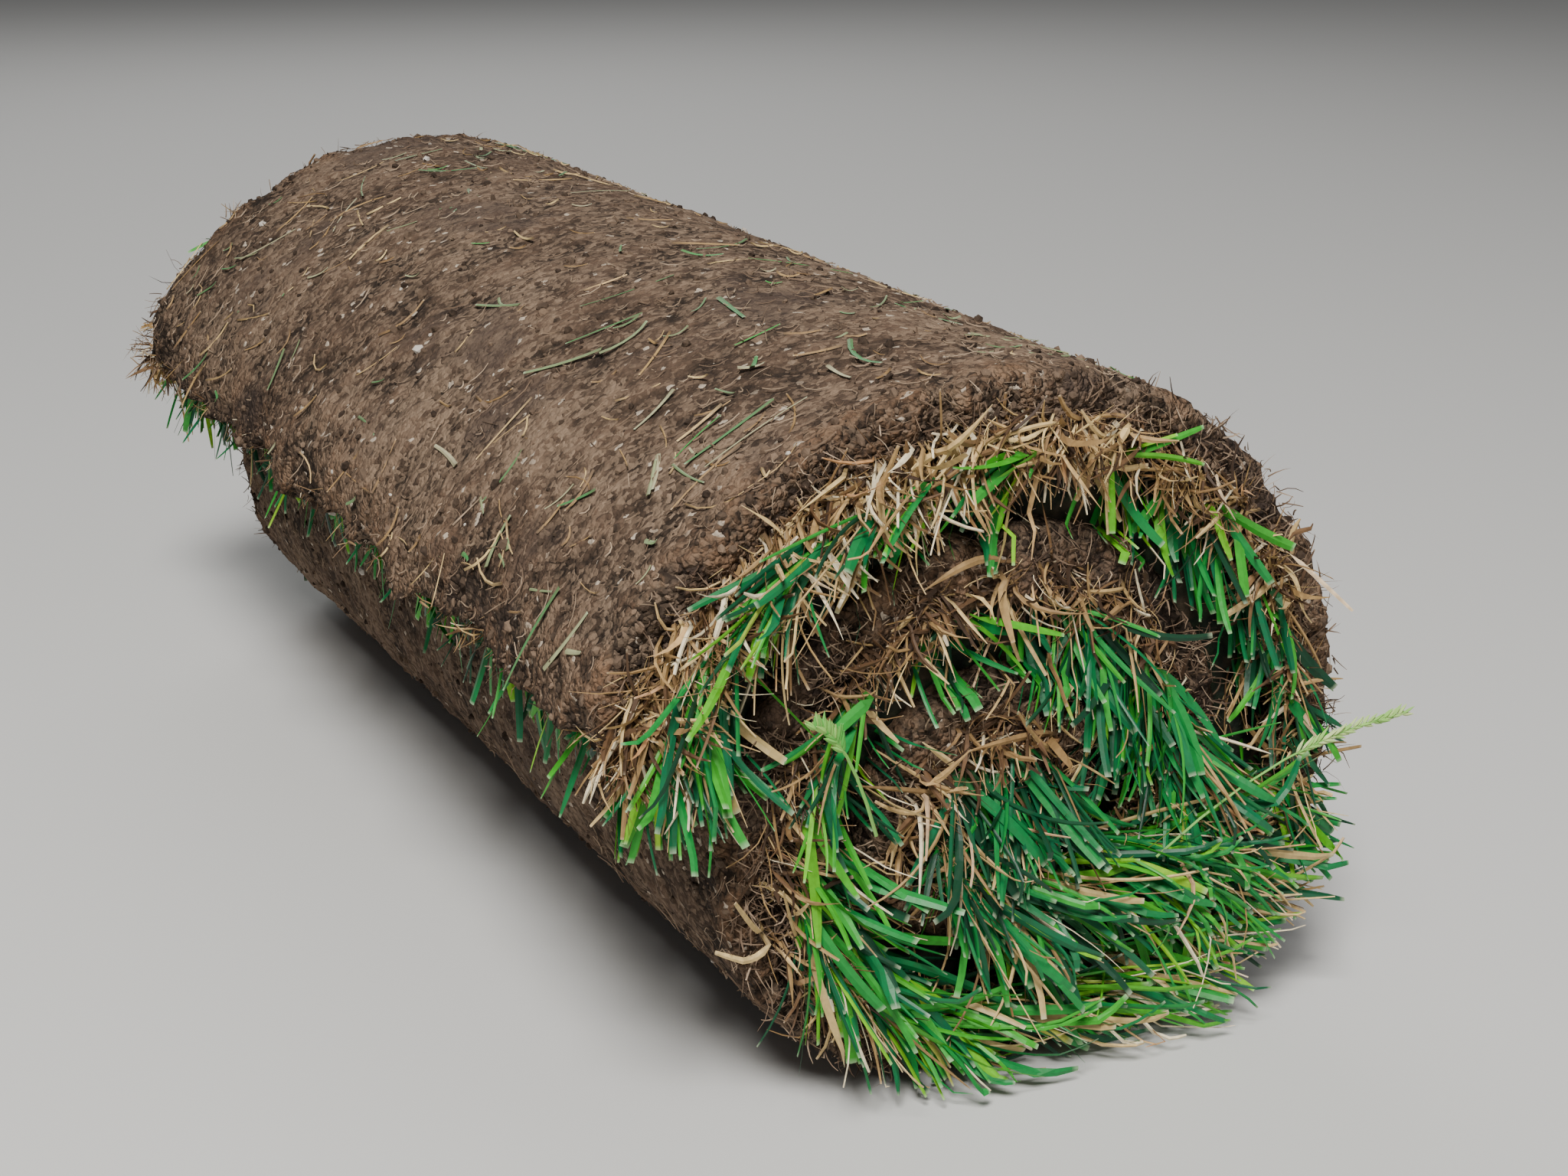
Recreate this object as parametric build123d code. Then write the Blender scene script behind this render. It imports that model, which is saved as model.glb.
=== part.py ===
"""A roll of turf: one slab of lawn, cut with its roots and wound up grass side in.

The slab is a mat of root-bound soil of even thickness with grass on one face. It is wound from
the core outwards, so the soil is outside and the sward is folded into the gap between one turn
and the next. The roll has sagged under its own weight: every turn has a flat run at the bottom,
with tighter bends below and wider bends above. The free end has sprung off the turn below it.

Frame: millimetres, +Z up, and the roll lies along Y. The origin is on the floor under the
middle of the roll's box. Seen from the front end, at -Y, the mat runs anticlockwise from the
core, and its free end is at the upper left.
"""
import os
from dataclasses import dataclass
from math import cos, radians, sin

from build123d import *

# The slab, as it was cut from the field
slab_width = 610.0  # across the cutter, which is the length of the roll
soil_thickness = 28.0  # soil, roots and thatch
edge_bevel = 6.0  # crumbled long edges of the soil face
end_feather = 9.0  # how far back the free end has crumbled thin
end_slope = 40.0  # degrees that the feathered end slopes in

# How it is wound
sward_gap = 27.0  # from the soil of one turn to the next, full of folded grass
core_radius = 17.0  # middle of the mat at the first bend, before the sag
core_lead = 24.0  # straight end of the mat inside the core
full_turns = 2  # whole turns before the outer lap
sag_flat = 56.0  # flat run at the bottom of every turn
flap_spring = 20.0  # how much wider the free end bends than it would if it lay down
flap_reach = 64.0  # degrees from the top of the roll to the tip of the free end

# The grass
fringe = 15.0  # how far it stands out past both cut edges of the soil

# Worked out from these
turn_pitch = soil_thickness + sward_gap
sag_shift = sag_flat / 4  # what the bends above gain in radius, and those below lose

FRONT_AXIS = Vector(0, -1, 0)  # turning about it is anticlockwise from the front
QUARTERS = 4
QUARTER_TURN = 360.0 / QUARTERS


def spoke(angle):
    """The unit vector at an angle in degrees, anticlockwise from the right, seen from the front."""
    return Vector(cos(radians(angle)), 0, sin(radians(angle)))


def section_plane(point, outward):
    """The plane across the mat at a point of its middle line: X points out of the roll."""
    return Plane(origin=point, x_dir=outward, z_dir=FRONT_AXIS.cross(outward))


@dataclass(frozen=True)
class Run:
    """A straight stretch of the mat: where its middle line starts, which way is out, its length."""

    start: Vector
    outward: Vector
    length: float

    @property
    def end(self):
        return self.start + FRONT_AXIS.cross(self.outward) * self.length

    def middle_line(self):
        return Line(self.start, self.end)

    def solid(self, section):
        return extrude(section_plane(self.start, self.outward) * section, self.length)


@dataclass(frozen=True)
class Bend:
    """A round stretch of the mat: its centre and radius, and where it starts and how far it goes."""

    centre: Vector
    radius: float
    start_angle: float
    sweep: float

    @property
    def start(self):
        return self.centre + spoke(self.start_angle) * self.radius

    @property
    def end(self):
        return self.centre + spoke(self.start_angle + self.sweep) * self.radius

    def middle_line(self):
        halfway = self.centre + spoke(self.start_angle + self.sweep / 2) * self.radius
        return ThreePointArc(self.start, halfway, self.end)

    def solid(self, section):
        placed = section_plane(self.start, spoke(self.start_angle)) * section
        return revolve(placed, Axis(self.centre, FRONT_AXIS), self.sweep)


def bend_radius(quarter):
    """The radius of a quarter turn: it grows steadily outwards, and the sag widens the top half.

    The first quarter of every turn runs from the right of the roll up to its top.
    """
    growth = quarter * turn_pitch / QUARTERS
    upper = quarter % QUARTERS < QUARTERS // 2
    return core_radius + growth + (sag_shift if upper else -sag_shift)


def wind_mat():
    """The stretches of the mat's middle line, from its end in the core to the tip of the flap."""
    stretches = [Run(Vector(0, 0, 0), spoke(0), core_lead)]

    def bend_on(quarter, radius, sweep):
        start_angle = QUARTER_TURN * (quarter % QUARTERS)
        centre = stretches[-1].end - spoke(start_angle) * radius
        stretches.append(Bend(centre, radius, start_angle, sweep))

    last_quarter = QUARTERS * full_turns
    for quarter in range(last_quarter + 1):
        bend_on(quarter, bend_radius(quarter), QUARTER_TURN)
        if quarter % QUARTERS == QUARTERS // 2:  # this one has come down to the bottom
            stretches.append(Run(stretches[-1].end, spoke(-QUARTER_TURN), sag_flat))
    flap_quarter = last_quarter + 1
    bend_on(flap_quarter, bend_radius(flap_quarter) + flap_spring, flap_reach)
    return stretches


def swept(section, stretches, *more):
    """One solid of a cross-section carried along all the stretches, with more pieces joined on."""
    pieces = [stretch.solid(section).solid() for stretch in stretches]
    return Solid.fuse(*pieces, *more).clean()


mat = wind_mat()
flap = mat[-1]
tip_plane = section_plane(flap.end, spoke(flap.start_angle + flap.sweep))

# The soil, with its free end feathered and the long edges of its outer face crumbled
slab = Rectangle(soil_thickness, slab_width)
slab = chamfer(slab.vertices().sort_by(Axis.X)[-2:], edge_bevel)
feather = extrude(tip_plane * slab, end_feather, taper=end_slope)
soil_mat = swept(slab, mat, feather.solid())

# The grass fills all the space inside the outer lap, and stands out past the soil at both ends
outer_lap = mat[-1 - QUARTERS:]
mouth = Line(flap.end, outer_lap[0].start)
lap_line = [stretch.middle_line() for stretch in outer_lap]
inside = extrude(make_face(lap_line + [mouth]), slab_width / 2 + fringe, both=True)
sward = inside - swept(Rectangle(soil_thickness, slab_width + 2 * fringe), mat, feather.solid())

# Set down on the floor
box = soil_mat.bounding_box()
on_floor = Pos(-box.center().X, 0, -box.min.Z)

os.makedirs("parts", exist_ok=True)
export_step(on_floor * soil_mat, "parts/soil_mat.step")
export_step(on_floor * sward, "parts/sward.step")
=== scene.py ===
"""The roll of turf, dressed: rooted soil, thatch, folded grass, and what clings to them.

Sizes are in metres. Seen from the front end, at -Y, the mat is wound anticlockwise from the core.
"""
import logging
import math
from dataclasses import dataclass, field, replace
from enum import Enum

import bmesh
import bpy
import numpy as np
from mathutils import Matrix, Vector


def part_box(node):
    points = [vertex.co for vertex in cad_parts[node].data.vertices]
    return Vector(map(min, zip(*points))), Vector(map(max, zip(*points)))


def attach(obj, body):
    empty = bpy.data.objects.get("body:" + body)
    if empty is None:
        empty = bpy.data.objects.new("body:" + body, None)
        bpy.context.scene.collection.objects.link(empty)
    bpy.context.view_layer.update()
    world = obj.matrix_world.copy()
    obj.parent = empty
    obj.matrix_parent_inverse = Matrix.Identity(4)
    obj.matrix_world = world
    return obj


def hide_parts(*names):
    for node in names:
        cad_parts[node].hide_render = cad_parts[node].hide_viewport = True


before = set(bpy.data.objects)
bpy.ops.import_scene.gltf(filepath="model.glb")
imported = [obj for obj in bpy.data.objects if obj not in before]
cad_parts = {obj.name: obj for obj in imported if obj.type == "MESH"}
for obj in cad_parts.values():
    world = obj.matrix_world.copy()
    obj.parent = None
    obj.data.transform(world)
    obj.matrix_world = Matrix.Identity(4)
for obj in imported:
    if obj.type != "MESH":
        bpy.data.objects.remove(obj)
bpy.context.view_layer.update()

LOG = logging.getLogger("turf")
BODY = "root"
FLOOR_GAP = 0.0002  # how far every piece stays above the floor
QUARTERS = 4  # quarter bends in a turn of the roll
NO_LENGTH = 1e-9  # stands in for the length of a vector that has none

Colour = tuple[float, float, float]
Place = tuple[float, float, float]
Span = tuple[float, float]


class End(Enum):
    """An end of the roll, by the sign of its Y."""

    FRONT = -1
    BACK = 1


class Slot(Enum):
    """A material slot of the record."""

    SOIL = "soil"
    GRASS = "grass"


class Node(Enum):
    """A solid of the CAD model."""

    SOIL_MAT = "soil_mat"
    SWARD = "sward"


# Node trees


@dataclass(frozen=True)
class Grain:
    """Noise of one size: how many spots it has along a metre, and how finely they break up."""

    scale: float
    detail: float


class Socket:
    """A node's output, with the operators that sums of values use."""

    def __init__(self, tree: "Tree", link: "bpy.types.NodeSocket | None") -> None:
        """Keep the socket and the tree that it is in."""
        self.tree = tree
        self.link = link

    def _math(self, operation: str, first: object, second: object) -> "Socket":
        """Add a Math node on two values."""
        return self.tree.add("ShaderNodeMath", {"operation": operation}, {0: first, 1: second})

    def __add__(self, other: object) -> "Socket":
        """Add a value."""
        return self._math("ADD", self, other)

    def __radd__(self, other: object) -> "Socket":
        """Be added to a value."""
        return self._math("ADD", other, self)

    def __sub__(self, other: object) -> "Socket":
        """Take a value off."""
        return self._math("SUBTRACT", self, other)

    def __rsub__(self, other: object) -> "Socket":
        """Be taken off a value."""
        return self._math("SUBTRACT", other, self)

    def __mul__(self, other: object) -> "Socket":
        """Multiply by a value."""
        return self._math("MULTIPLY", self, other)

    def __rmul__(self, other: object) -> "Socket":
        """Multiply a value."""
        return self._math("MULTIPLY", other, self)

    def __pow__(self, other: object) -> "Socket":
        """Raise to a power."""
        return self._math("POWER", self, other)

    def __rpow__(self, other: object) -> "Socket":
        """Be the power of a value."""
        return self._math("POWER", other, self)


def weighed(weights: tuple[float, ...], *levels: Socket) -> Socket:
    """The sum of some levels, each times its weight."""
    return sum(level * weight for level, weight in zip(levels, weights))


class Tree:
    """A node tree that nodes are added to."""

    def __init__(self, tree: bpy.types.NodeTree) -> None:
        """Start on an empty tree."""
        self.tree = tree
        tree.nodes.clear()

    def add(
        self,
        kind: str,
        settings: dict[str, object] | None = None,
        sockets: dict[str | int, object] | None = None,
        output: str | int = 0,
    ) -> Socket:
        """Add a node.

        Args:
            kind: the node's type.
            settings: its own settings, set first; "stops" are a colour ramp's.
            sockets: values or links of its inputs, by name or number.
            output: the output that is returned.

        Returns:
            One of the node's outputs.
        """
        node = self.tree.nodes.new(kind)
        for name, value in (settings or {}).items():
            if name == "stops":
                self._set_stops(node.color_ramp, value)
            else:
                setattr(node, name, value)
        for key, value in (sockets or {}).items():
            if isinstance(value, Socket):
                self.tree.links.new(value.link, node.inputs[key])
            else:
                node.inputs[key].default_value = value
        return Socket(self, node.outputs[output] if node.outputs else None)

    @staticmethod
    def _set_stops(ramp: bpy.types.ColorRamp, stops: tuple[tuple[float, Colour], ...]) -> None:
        """Give a colour ramp its stops.

        Args:
            ramp: the node's ramp, which starts with two stops.
            stops: each stop's place and colour, in order.
        """
        while len(ramp.elements) < len(stops):
            ramp.elements.new(0.5)
        for element, (place, colour) in zip(ramp.elements, stops):
            element.position = place
            element.color = (*colour, 1.0)

    def place(self) -> Socket:
        """Where a point is, in the piece's own coordinates."""
        raise NotImplementedError

    def noise(self, grain: Grain, output: int = 0) -> Socket:
        """Noise on the piece's own coordinates: its level, or with output 1 its colour."""
        sockets = {"Vector": self.place(), "Scale": grain.scale, "Detail": grain.detail}
        return self.add("ShaderNodeTexNoise", {}, sockets, output)

    def ramp(self, value: Socket, low: float, high: float) -> Socket:
        """Stretch low to high over 0 to 1."""
        return self.add("ShaderNodeMapRange", {}, {0: value, 1: low, 2: high, 3: 0.0, 4: 1.0})

    def scaled(self, vector: Socket, factor: object) -> Socket:
        """A vector times a number."""
        sockets = {0: vector, "Scale": factor}
        return self.add("ShaderNodeVectorMath", {"operation": "SCALE"}, sockets)


class SurfaceTree(Tree):
    """The node tree of a material."""

    def place(self) -> Socket:
        """Where a point is, in the piece's own coordinates."""
        return self.add("ShaderNodeTexCoord", output="Object")

    def attribute(self, name: str) -> Socket:
        """A number that the mesh carries."""
        return self.add("ShaderNodeAttribute", {"attribute_name": name}, output="Fac")

    def blend(self, share: Socket, first: Socket | Colour, second: Socket | Colour) -> Socket:
        """Mix two colours.

        Args:
            share: how much of the second there is.
            first: a link, or red, green and blue.
            second: the same.

        Returns:
            The mixed colour.
        """
        sockets = {0: share}
        for key, colour in ((6, first), (7, second)):
            sockets[key] = colour if isinstance(colour, Socket) else (*colour, 1.0)
        return self.add("ShaderNodeMix", {"data_type": "RGBA"}, sockets, 2)


class GeometryTree(Tree):
    """A geometry node tree with named inputs, that ends in one realized mesh."""

    KINDS = {
        int: "NodeSocketInt",
        float: "NodeSocketFloat",
        bpy.types.Material: "NodeSocketMaterial",
    }

    def __init__(self, name: str, inputs: dict[str, type]) -> None:
        """Start the tree with its named inputs.

        Args:
            name: the tree's name.
            inputs: the names and types of its inputs, apart from the geometry and the material.
        """
        super().__init__(bpy.data.node_groups.new(name, "GeometryNodeTree"))
        face = self.tree.interface
        for way in ("INPUT", "OUTPUT"):
            face.new_socket("Geometry", in_out=way, socket_type="NodeSocketGeometry")
        for label, kind in (inputs | {"Material": bpy.types.Material}).items():
            face.new_socket(label, in_out="INPUT", socket_type=self.KINDS[kind])

    def place(self) -> Socket:
        """Where a point is, in the piece's own coordinates."""
        return self.add("GeometryNodeInputPosition")

    def given(self, label: str) -> Socket:
        """The named input."""
        return self.add("NodeGroupInput", output=label)

    def attribute(self, name: str, kind: str = "FLOAT") -> Socket:
        """An attribute of the mesh or curve."""
        return self.add("GeometryNodeInputNamedAttribute", {"data_type": kind}, {"Name": name})

    def store(self, geometry: Socket, name: str, value: Socket, domain: str) -> Socket:
        """Keep a number as an attribute of the geometry.

        Args:
            geometry: what carries it.
            name: the attribute's name.
            value: the number.
            domain: whether it is kept for each point or for each instance.

        Returns:
            The geometry with the attribute.
        """
        sockets = {"Geometry": geometry, "Name": name, "Value": value}
        settings = {"data_type": "FLOAT", "domain": domain}
        return self.add("GeometryNodeStoreNamedAttribute", settings, sockets)

    def chance(self, low: float | Place, high: float | Place, seed: int | Socket) -> Socket:
        """A random number or vector for each point.

        Args:
            low: the least, a number or a vector.
            high: the most, of the same kind.
            seed: the seed of chance.

        Returns:
            The number or vector.
        """
        is_vector = isinstance(low, tuple)
        settings = {"data_type": "FLOAT_VECTOR" if is_vector else "FLOAT"}
        least = 0 if is_vector else 2
        sockets = {least: low, least + 1: high, "Seed": seed}
        return self.add("FunctionNodeRandomValue", settings, sockets, 0 if is_vector else 1)

    def close(self, geometry: Socket, is_smooth: bool) -> None:
        """Realize what there is, lift it off the floor, give it the material, and send it out.

        Args:
            geometry: what the tree has made.
            is_smooth: whether light runs on smoothly from face to face.
        """
        geometry = self.add("GeometryNodeRealizeInstances", {}, {"Geometry": geometry})
        x, y, z = (self.add("ShaderNodeSeparateXYZ", {}, {0: self.place()}, axis) for axis in "XYZ")
        raised = self.add("ShaderNodeMath", {"operation": "MAXIMUM"}, {0: z, 1: FLOOR_GAP})
        lifted = self.add("ShaderNodeCombineXYZ", {}, {"X": x, "Y": y, "Z": raised})
        for kind, sockets in (
            ("GeometryNodeSetPosition", {"Position": lifted}),
            ("GeometryNodeSetShadeSmooth", {"Shade Smooth": is_smooth}),
            ("GeometryNodeSetMaterial", {"Material": self.given("Material")}),
        ):
            geometry = self.add(kind, {}, {"Geometry": geometry} | sockets)
        self.add("NodeGroupOutput", {}, {0: geometry})

    def run_on(
        self, mesh: bpy.types.Mesh, name: str, inputs: dict[str, object]
    ) -> bpy.types.Object:
        """Run the tree on a mesh, which is used up.

        Args:
            mesh: what the tree starts from.
            name: the finished piece's name.
            inputs: the values of the tree's inputs, by name.

        Returns:
            The piece, with a plain mesh and no modifier.
        """
        piece = bpy.data.objects.new(name, mesh)
        bpy.context.scene.collection.objects.link(piece)
        modifier = piece.modifiers.new(name, "NODES")
        modifier.node_group = self.tree
        for item in self.tree.interface.items_tree:
            if item.in_out == "INPUT" and item.name in inputs:
                modifier[item.identifier] = inputs[item.name]
        graph = bpy.context.evaluated_depsgraph_get()
        result = bpy.data.meshes.new_from_object(
            piece.evaluated_get(graph), preserve_all_data_layers=True, depsgraph=graph
        )
        piece.modifiers.remove(modifier)
        piece.data = result
        bpy.data.meshes.remove(mesh)
        result.name = name
        return piece


def strand_tree() -> GeometryTree:
    """Make the tree that gives guide lines with attributes their bodies.

    Returns:
        The tree; its inputs are a strand's sides, and its thickness as a share of its width.
    """
    tree = GeometryTree("strands", {"Sides": int, "Flatness": float})
    lines = tree.add("GeometryNodeMeshToCurve", {}, {"Mesh": tree.given("Geometry")})
    turned = {"Curve": lines, "Normal": tree.attribute("facing", "FLOAT_VECTOR")}
    lines = tree.add("GeometryNodeSetCurveNormal", {"mode": "FREE"}, turned)
    circle = {"Resolution": tree.given("Sides"), "Radius": 1.0}
    ring = tree.add("GeometryNodeCurvePrimitiveCircle", {}, circle)
    flat = tree.add("ShaderNodeCombineXYZ", {}, {"X": tree.given("Flatness"), "Y": 1.0, "Z": 1.0})
    ring = tree.add("GeometryNodeTransform", {}, {"Geometry": ring, "Scale": flat})
    swept = {"Curve": lines, "Profile Curve": ring, "Scale": tree.attribute("girth")}
    body = tree.add("GeometryNodeCurveToMesh", {}, swept | {"Fill Caps": True})
    tree.close(body, False)
    return tree


@dataclass(frozen=True)
class Relief:
    """How high the forms of a worked face are, and how much higher where it is torn."""

    sag: float
    lump: float
    crumb: float
    pit: float
    torn: float

    SAGS = Grain(11.0, 1.0)
    LUMPS = Grain(38.0, 2.0)
    CRUMBS = Grain(120.0, 3.0)
    PITS = Grain(42.0, 2.0)
    PIT_RANGE = (-0.12, -0.3)  # the noise at a pit's brim and at its bottom
    CELL_SCALE = 130.0  # round grains along a metre
    CELL_MIDDLE = 0.35
    CELL_SHARE = 0.6
    REACH = 0.003  # the height, up or down, at which the stored level ends

    def inputs(self) -> dict[str, float]:
        """The sizes, by the names of the tree's inputs."""
        return {name.capitalize(): size for name, size in vars(self).items()}

    @classmethod
    def tree(cls) -> GeometryTree:
        """Make the tree that works a smooth mesh into lumpy, crumbly, pitted soil.

        Returns:
            The tree; its inputs are the sizes.
        """
        names = ("Sag", "Lump", "Crumb", "Pit", "Torn")
        tree = GeometryTree("soil relief", dict.fromkeys(names, float))
        sags, lumps, crumbs, pits = (
            tree.noise(grain) - 0.5 for grain in (cls.SAGS, cls.LUMPS, cls.CRUMBS, cls.PITS)
        )
        cells = tree.add(
            "ShaderNodeTexVoronoi", {}, {"Vector": tree.place(), "Scale": cls.CELL_SCALE}
        )
        loose = tree.attribute("torn") * tree.given("Torn") + 1.0
        height = (
            sags * tree.given("Sag")
            + lumps * tree.given("Lump") * loose
            + (crumbs + (cls.CELL_MIDDLE - cells) * cls.CELL_SHARE) * tree.given("Crumb") * loose
            - tree.ramp(pits, *cls.PIT_RANGE) * tree.given("Pit")
        )
        # The soil finish reads this stored level as painted light on raised spots and painted shade in
        # low ones.
        level = tree.ramp(height, -cls.REACH, cls.REACH)
        mesh = tree.store(tree.given("Geometry"), "height", level, "POINT")
        push = tree.scaled(tree.add("GeometryNodeInputNormal"), height)
        mesh = tree.add("GeometryNodeSetPosition", {}, {"Geometry": mesh, "Offset": push})
        tree.close(mesh, True)
        return tree


# Finishes


@dataclass(frozen=True, kw_only=True)
class Finish:
    """A procedural finish: its subclasses say what its colour and its bump follow."""

    name: str
    roughness: float
    bump: Span  # its strength, and how deep it seems
    specular: float = 0.5

    def make(self) -> bpy.types.Material:
        """Build the material, once.

        Returns:
            The material.
        """
        if self.name in bpy.data.materials:
            return bpy.data.materials[self.name]
        material = bpy.data.materials.new(self.name)
        material.use_nodes = True
        tree = SurfaceTree(material.node_tree)
        colour, height = self.paint(tree)
        strength, depth = self.bump
        relief = {"Strength": strength, "Distance": depth, "Height": height}
        surface = {
            "Base Color": colour,
            "Roughness": self.roughness,
            "Specular IOR Level": self.specular,
            "Normal": tree.add("ShaderNodeBump", {}, relief),
        }
        shader = tree.add("ShaderNodeBsdfPrincipled", {}, surface)
        tree.add("ShaderNodeOutputMaterial", {}, {"Surface": shader})
        return material

    def paint(self, tree: SurfaceTree) -> tuple[Socket, Socket]:
        """The colour, and the height that the bump follows."""
        raise NotImplementedError


@dataclass(frozen=True, kw_only=True)
class SoilFinish(Finish):
    """Moist rooted soil: grains of many browns, with painted shade darkening its pits and the cracks
    between grains and painted light on its raised spots, warmer where it is torn.
    """

    name: str = "rooted_soil"
    # The dark colour is both the soil's darkest tone and painted shade in its pits and cracks.
    dark: Colour = (0.026, 0.018, 0.013)
    middle: Colour = (0.110, 0.070, 0.047)
    pale: Colour = (0.225, 0.158, 0.108)
    torn: Colour = (0.185, 0.100, 0.052)
    grit: Colour = (0.50, 0.42, 0.33)
    damp: Colour = (0.060, 0.042, 0.034)
    broad: Grain = Grain(12.0, 4.0)
    clods: Grain = Grain(110.0, 5.0)
    fine: Grain = Grain(800.0, 3.0)
    mottle: Grain = Grain(38.0, 4.0)
    moist: Grain = Grain(16.0, 5.0)
    jitter: Grain = Grain(260.0, 2.0)
    jitter_reach: float = 0.004
    grain_scale: float = 430.0
    # The splits are the cracks between grains: painted shade darkens them, and they also deepen the bump.
    split_depth: float = 0.18
    split_torn: float = 0.45
    # In these weights the height term is painted light on raised spots and painted shade in low spots.
    lit_weights: tuple[float, ...] = (0.9, 1.3, 0.18, 0.35)  # clods, mottle, grains, height
    lit_range: Span = (0.92, 1.46)
    dry_weights: tuple[float, ...] = (0.35, 0.7, 0.45)  # grains, broad, clods
    dry_range: Span = (0.66, 1.0)
    warm_range: Span = (0.1, 0.9)
    warm_share: float = 0.55
    moist_torn: float = 0.04
    moist_range: Span = (0.57, 0.68)
    moist_share: float = 0.6
    grit_range: Span = (0.987, 0.991)
    grit_share: float = 0.75
    rough_weights: tuple[float, ...] = (2.0, 0.4, 0.15, -2.0)  # clods, fine, grains, splits
    bump: Span = (0.9, 0.0024)
    roughness: float = 0.95
    specular: float = 0.12

    def paint(self, tree: SurfaceTree) -> tuple[Socket, Socket]:
        """Say what the colour and the bump follow.

        Args:
            tree: the material's tree.

        Returns:
            The colour, and the height that the bump follows.
        """
        torn = tree.attribute("torn")
        clods = tree.noise(self.clods)
        edge, lot = self._grains(tree)
        split = edge * (torn * self.split_torn + self.split_depth)
        height = tree.attribute("height")
        # Painted light and shade: height lightens raised spots and darkens low ones, and splits darken
        # the cracks, on top of the soil's own tone from clods, mottle and grains.
        patches = weighed(self.lit_weights, clods, tree.noise(self.mottle), lot, height)
        tone_and_painted_shade = tree.ramp(patches - split, *self.lit_range)
        dry = weighed(self.dry_weights, lot, tree.noise(self.broad), clods)
        warm = tree.ramp(torn + clods - 0.5, *self.warm_range) * self.warm_share
        moist = tree.noise(self.moist) + torn * self.moist_torn
        colour = tree.blend(tone_and_painted_shade, self.dark, self.middle)
        for share, tint in (
            (tree.ramp(dry, *self.dry_range), self.pale),
            (warm * tone_and_painted_shade, self.torn),
            (tree.ramp(moist, *self.moist_range) * self.moist_share, self.damp),
            (tree.ramp(lot, *self.grit_range) * self.grit_share, self.grit),
        ):
            colour = tree.blend(share, colour, tint)
        return colour, weighed(self.rough_weights, clods, tree.noise(self.fine), lot, split)

    def _grains(self, tree: SurfaceTree) -> tuple[Socket, Socket]:
        """Divide the soil into grains with crooked edges.

        Args:
            tree: the material's tree.

        Returns:
            The distance from a grain's middle, and a number that is each grain's own.
        """
        jitter = tree.scaled(tree.noise(self.jitter, 1), self.jitter_reach)
        bent = tree.add("ShaderNodeVectorMath", {"operation": "ADD"}, {0: tree.place(), 1: jitter})
        cells = {"Vector": bent, "Scale": self.grain_scale}
        shade = tree.add("ShaderNodeTexVoronoi", {}, cells, 1)
        lot = tree.add("ShaderNodeSeparateColor", {}, {0: shade})
        return tree.add("ShaderNodeTexVoronoi", {}, cells), lot


@dataclass(frozen=True, kw_only=True)
class LooseFinish(Finish):
    """Loose crumbs or stones, each of its own tone between dark and pale."""

    dark: Colour
    pale: Colour
    grain: Grain
    grain_share: float
    tone_power: float
    tone_range: Span

    def paint(self, tree: SurfaceTree) -> tuple[Socket, Socket]:
        """Say what the colour and the bump follow.

        Args:
            tree: the material's tree.

        Returns:
            The colour, and the height that the bump follows.
        """
        grain = tree.noise(self.grain)
        level = tree.attribute("tone") ** self.tone_power + grain * self.grain_share
        return tree.blend(tree.ramp(level, *self.tone_range), self.dark, self.pale), grain


CRUMB_FINISH = LooseFinish(
    name="soil_crumbs",
    dark=(0.026, 0.017, 0.012),
    pale=(0.200, 0.136, 0.092),
    grain=Grain(500.0, 3.0),
    grain_share=0.5,
    tone_power=2.0,
    tone_range=(0.2, 1.3),
    bump=(0.7, 0.001),
    roughness=0.95,
    specular=0.2,
)
PEBBLE_FINISH = LooseFinish(
    name="pebbles",
    dark=(0.22, 0.18, 0.14),
    pale=(0.62, 0.57, 0.50),
    grain=Grain(300.0, 4.0),
    grain_share=0.6,
    tone_power=1.0,
    tone_range=(0.3, 1.4),
    bump=(0.4, 0.0006),
    roughness=0.7,
)


@dataclass(frozen=True, kw_only=True)
class StrandFinish(Finish):
    """Blades or stems: a colour for each strand's tone, changing from its foot, where painted shade
    darkens most of them, to its cut tip.
    """

    stops: tuple[tuple[float, Colour], ...]
    # foot is painted shade towards a strand's foot, and also the colour of its streaks.
    foot: Colour
    foot_share: float
    tip: Colour
    tip_share: float
    streaks: float
    foot_range: Span = (0.30, 0.0)
    tip_range: Span = (0.96, 1.0)
    grain: Grain = Grain(420.0, 3.0)
    streak_range: Span = (0.35, 0.65)
    bump: Span = (0.25, 0.0005)
    specular: float = 0.3

    def paint(self, tree: SurfaceTree) -> tuple[Socket, Socket]:
        """Say what the colour and the bump follow.

        Args:
            tree: the material's tree.

        Returns:
            The colour, and the height that the bump follows.
        """
        along = tree.attribute("along")
        grain = tree.noise(self.grain)
        stops = {"stops": self.stops}
        colour = tree.add("ShaderNodeValToRGB", stops, {0: tree.attribute("tone")})
        for share, tint in (
            (tree.ramp(grain, *self.streak_range) * self.streaks, self.foot),
            # Painted shade: darker towards the strand's foot.
            (tree.ramp(along, *self.foot_range) * self.foot_share, self.foot),
            (tree.ramp(along, *self.tip_range) * self.tip_share, self.tip),
        ):
            colour = tree.blend(share, colour, tint)
        return colour, grain


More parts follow.
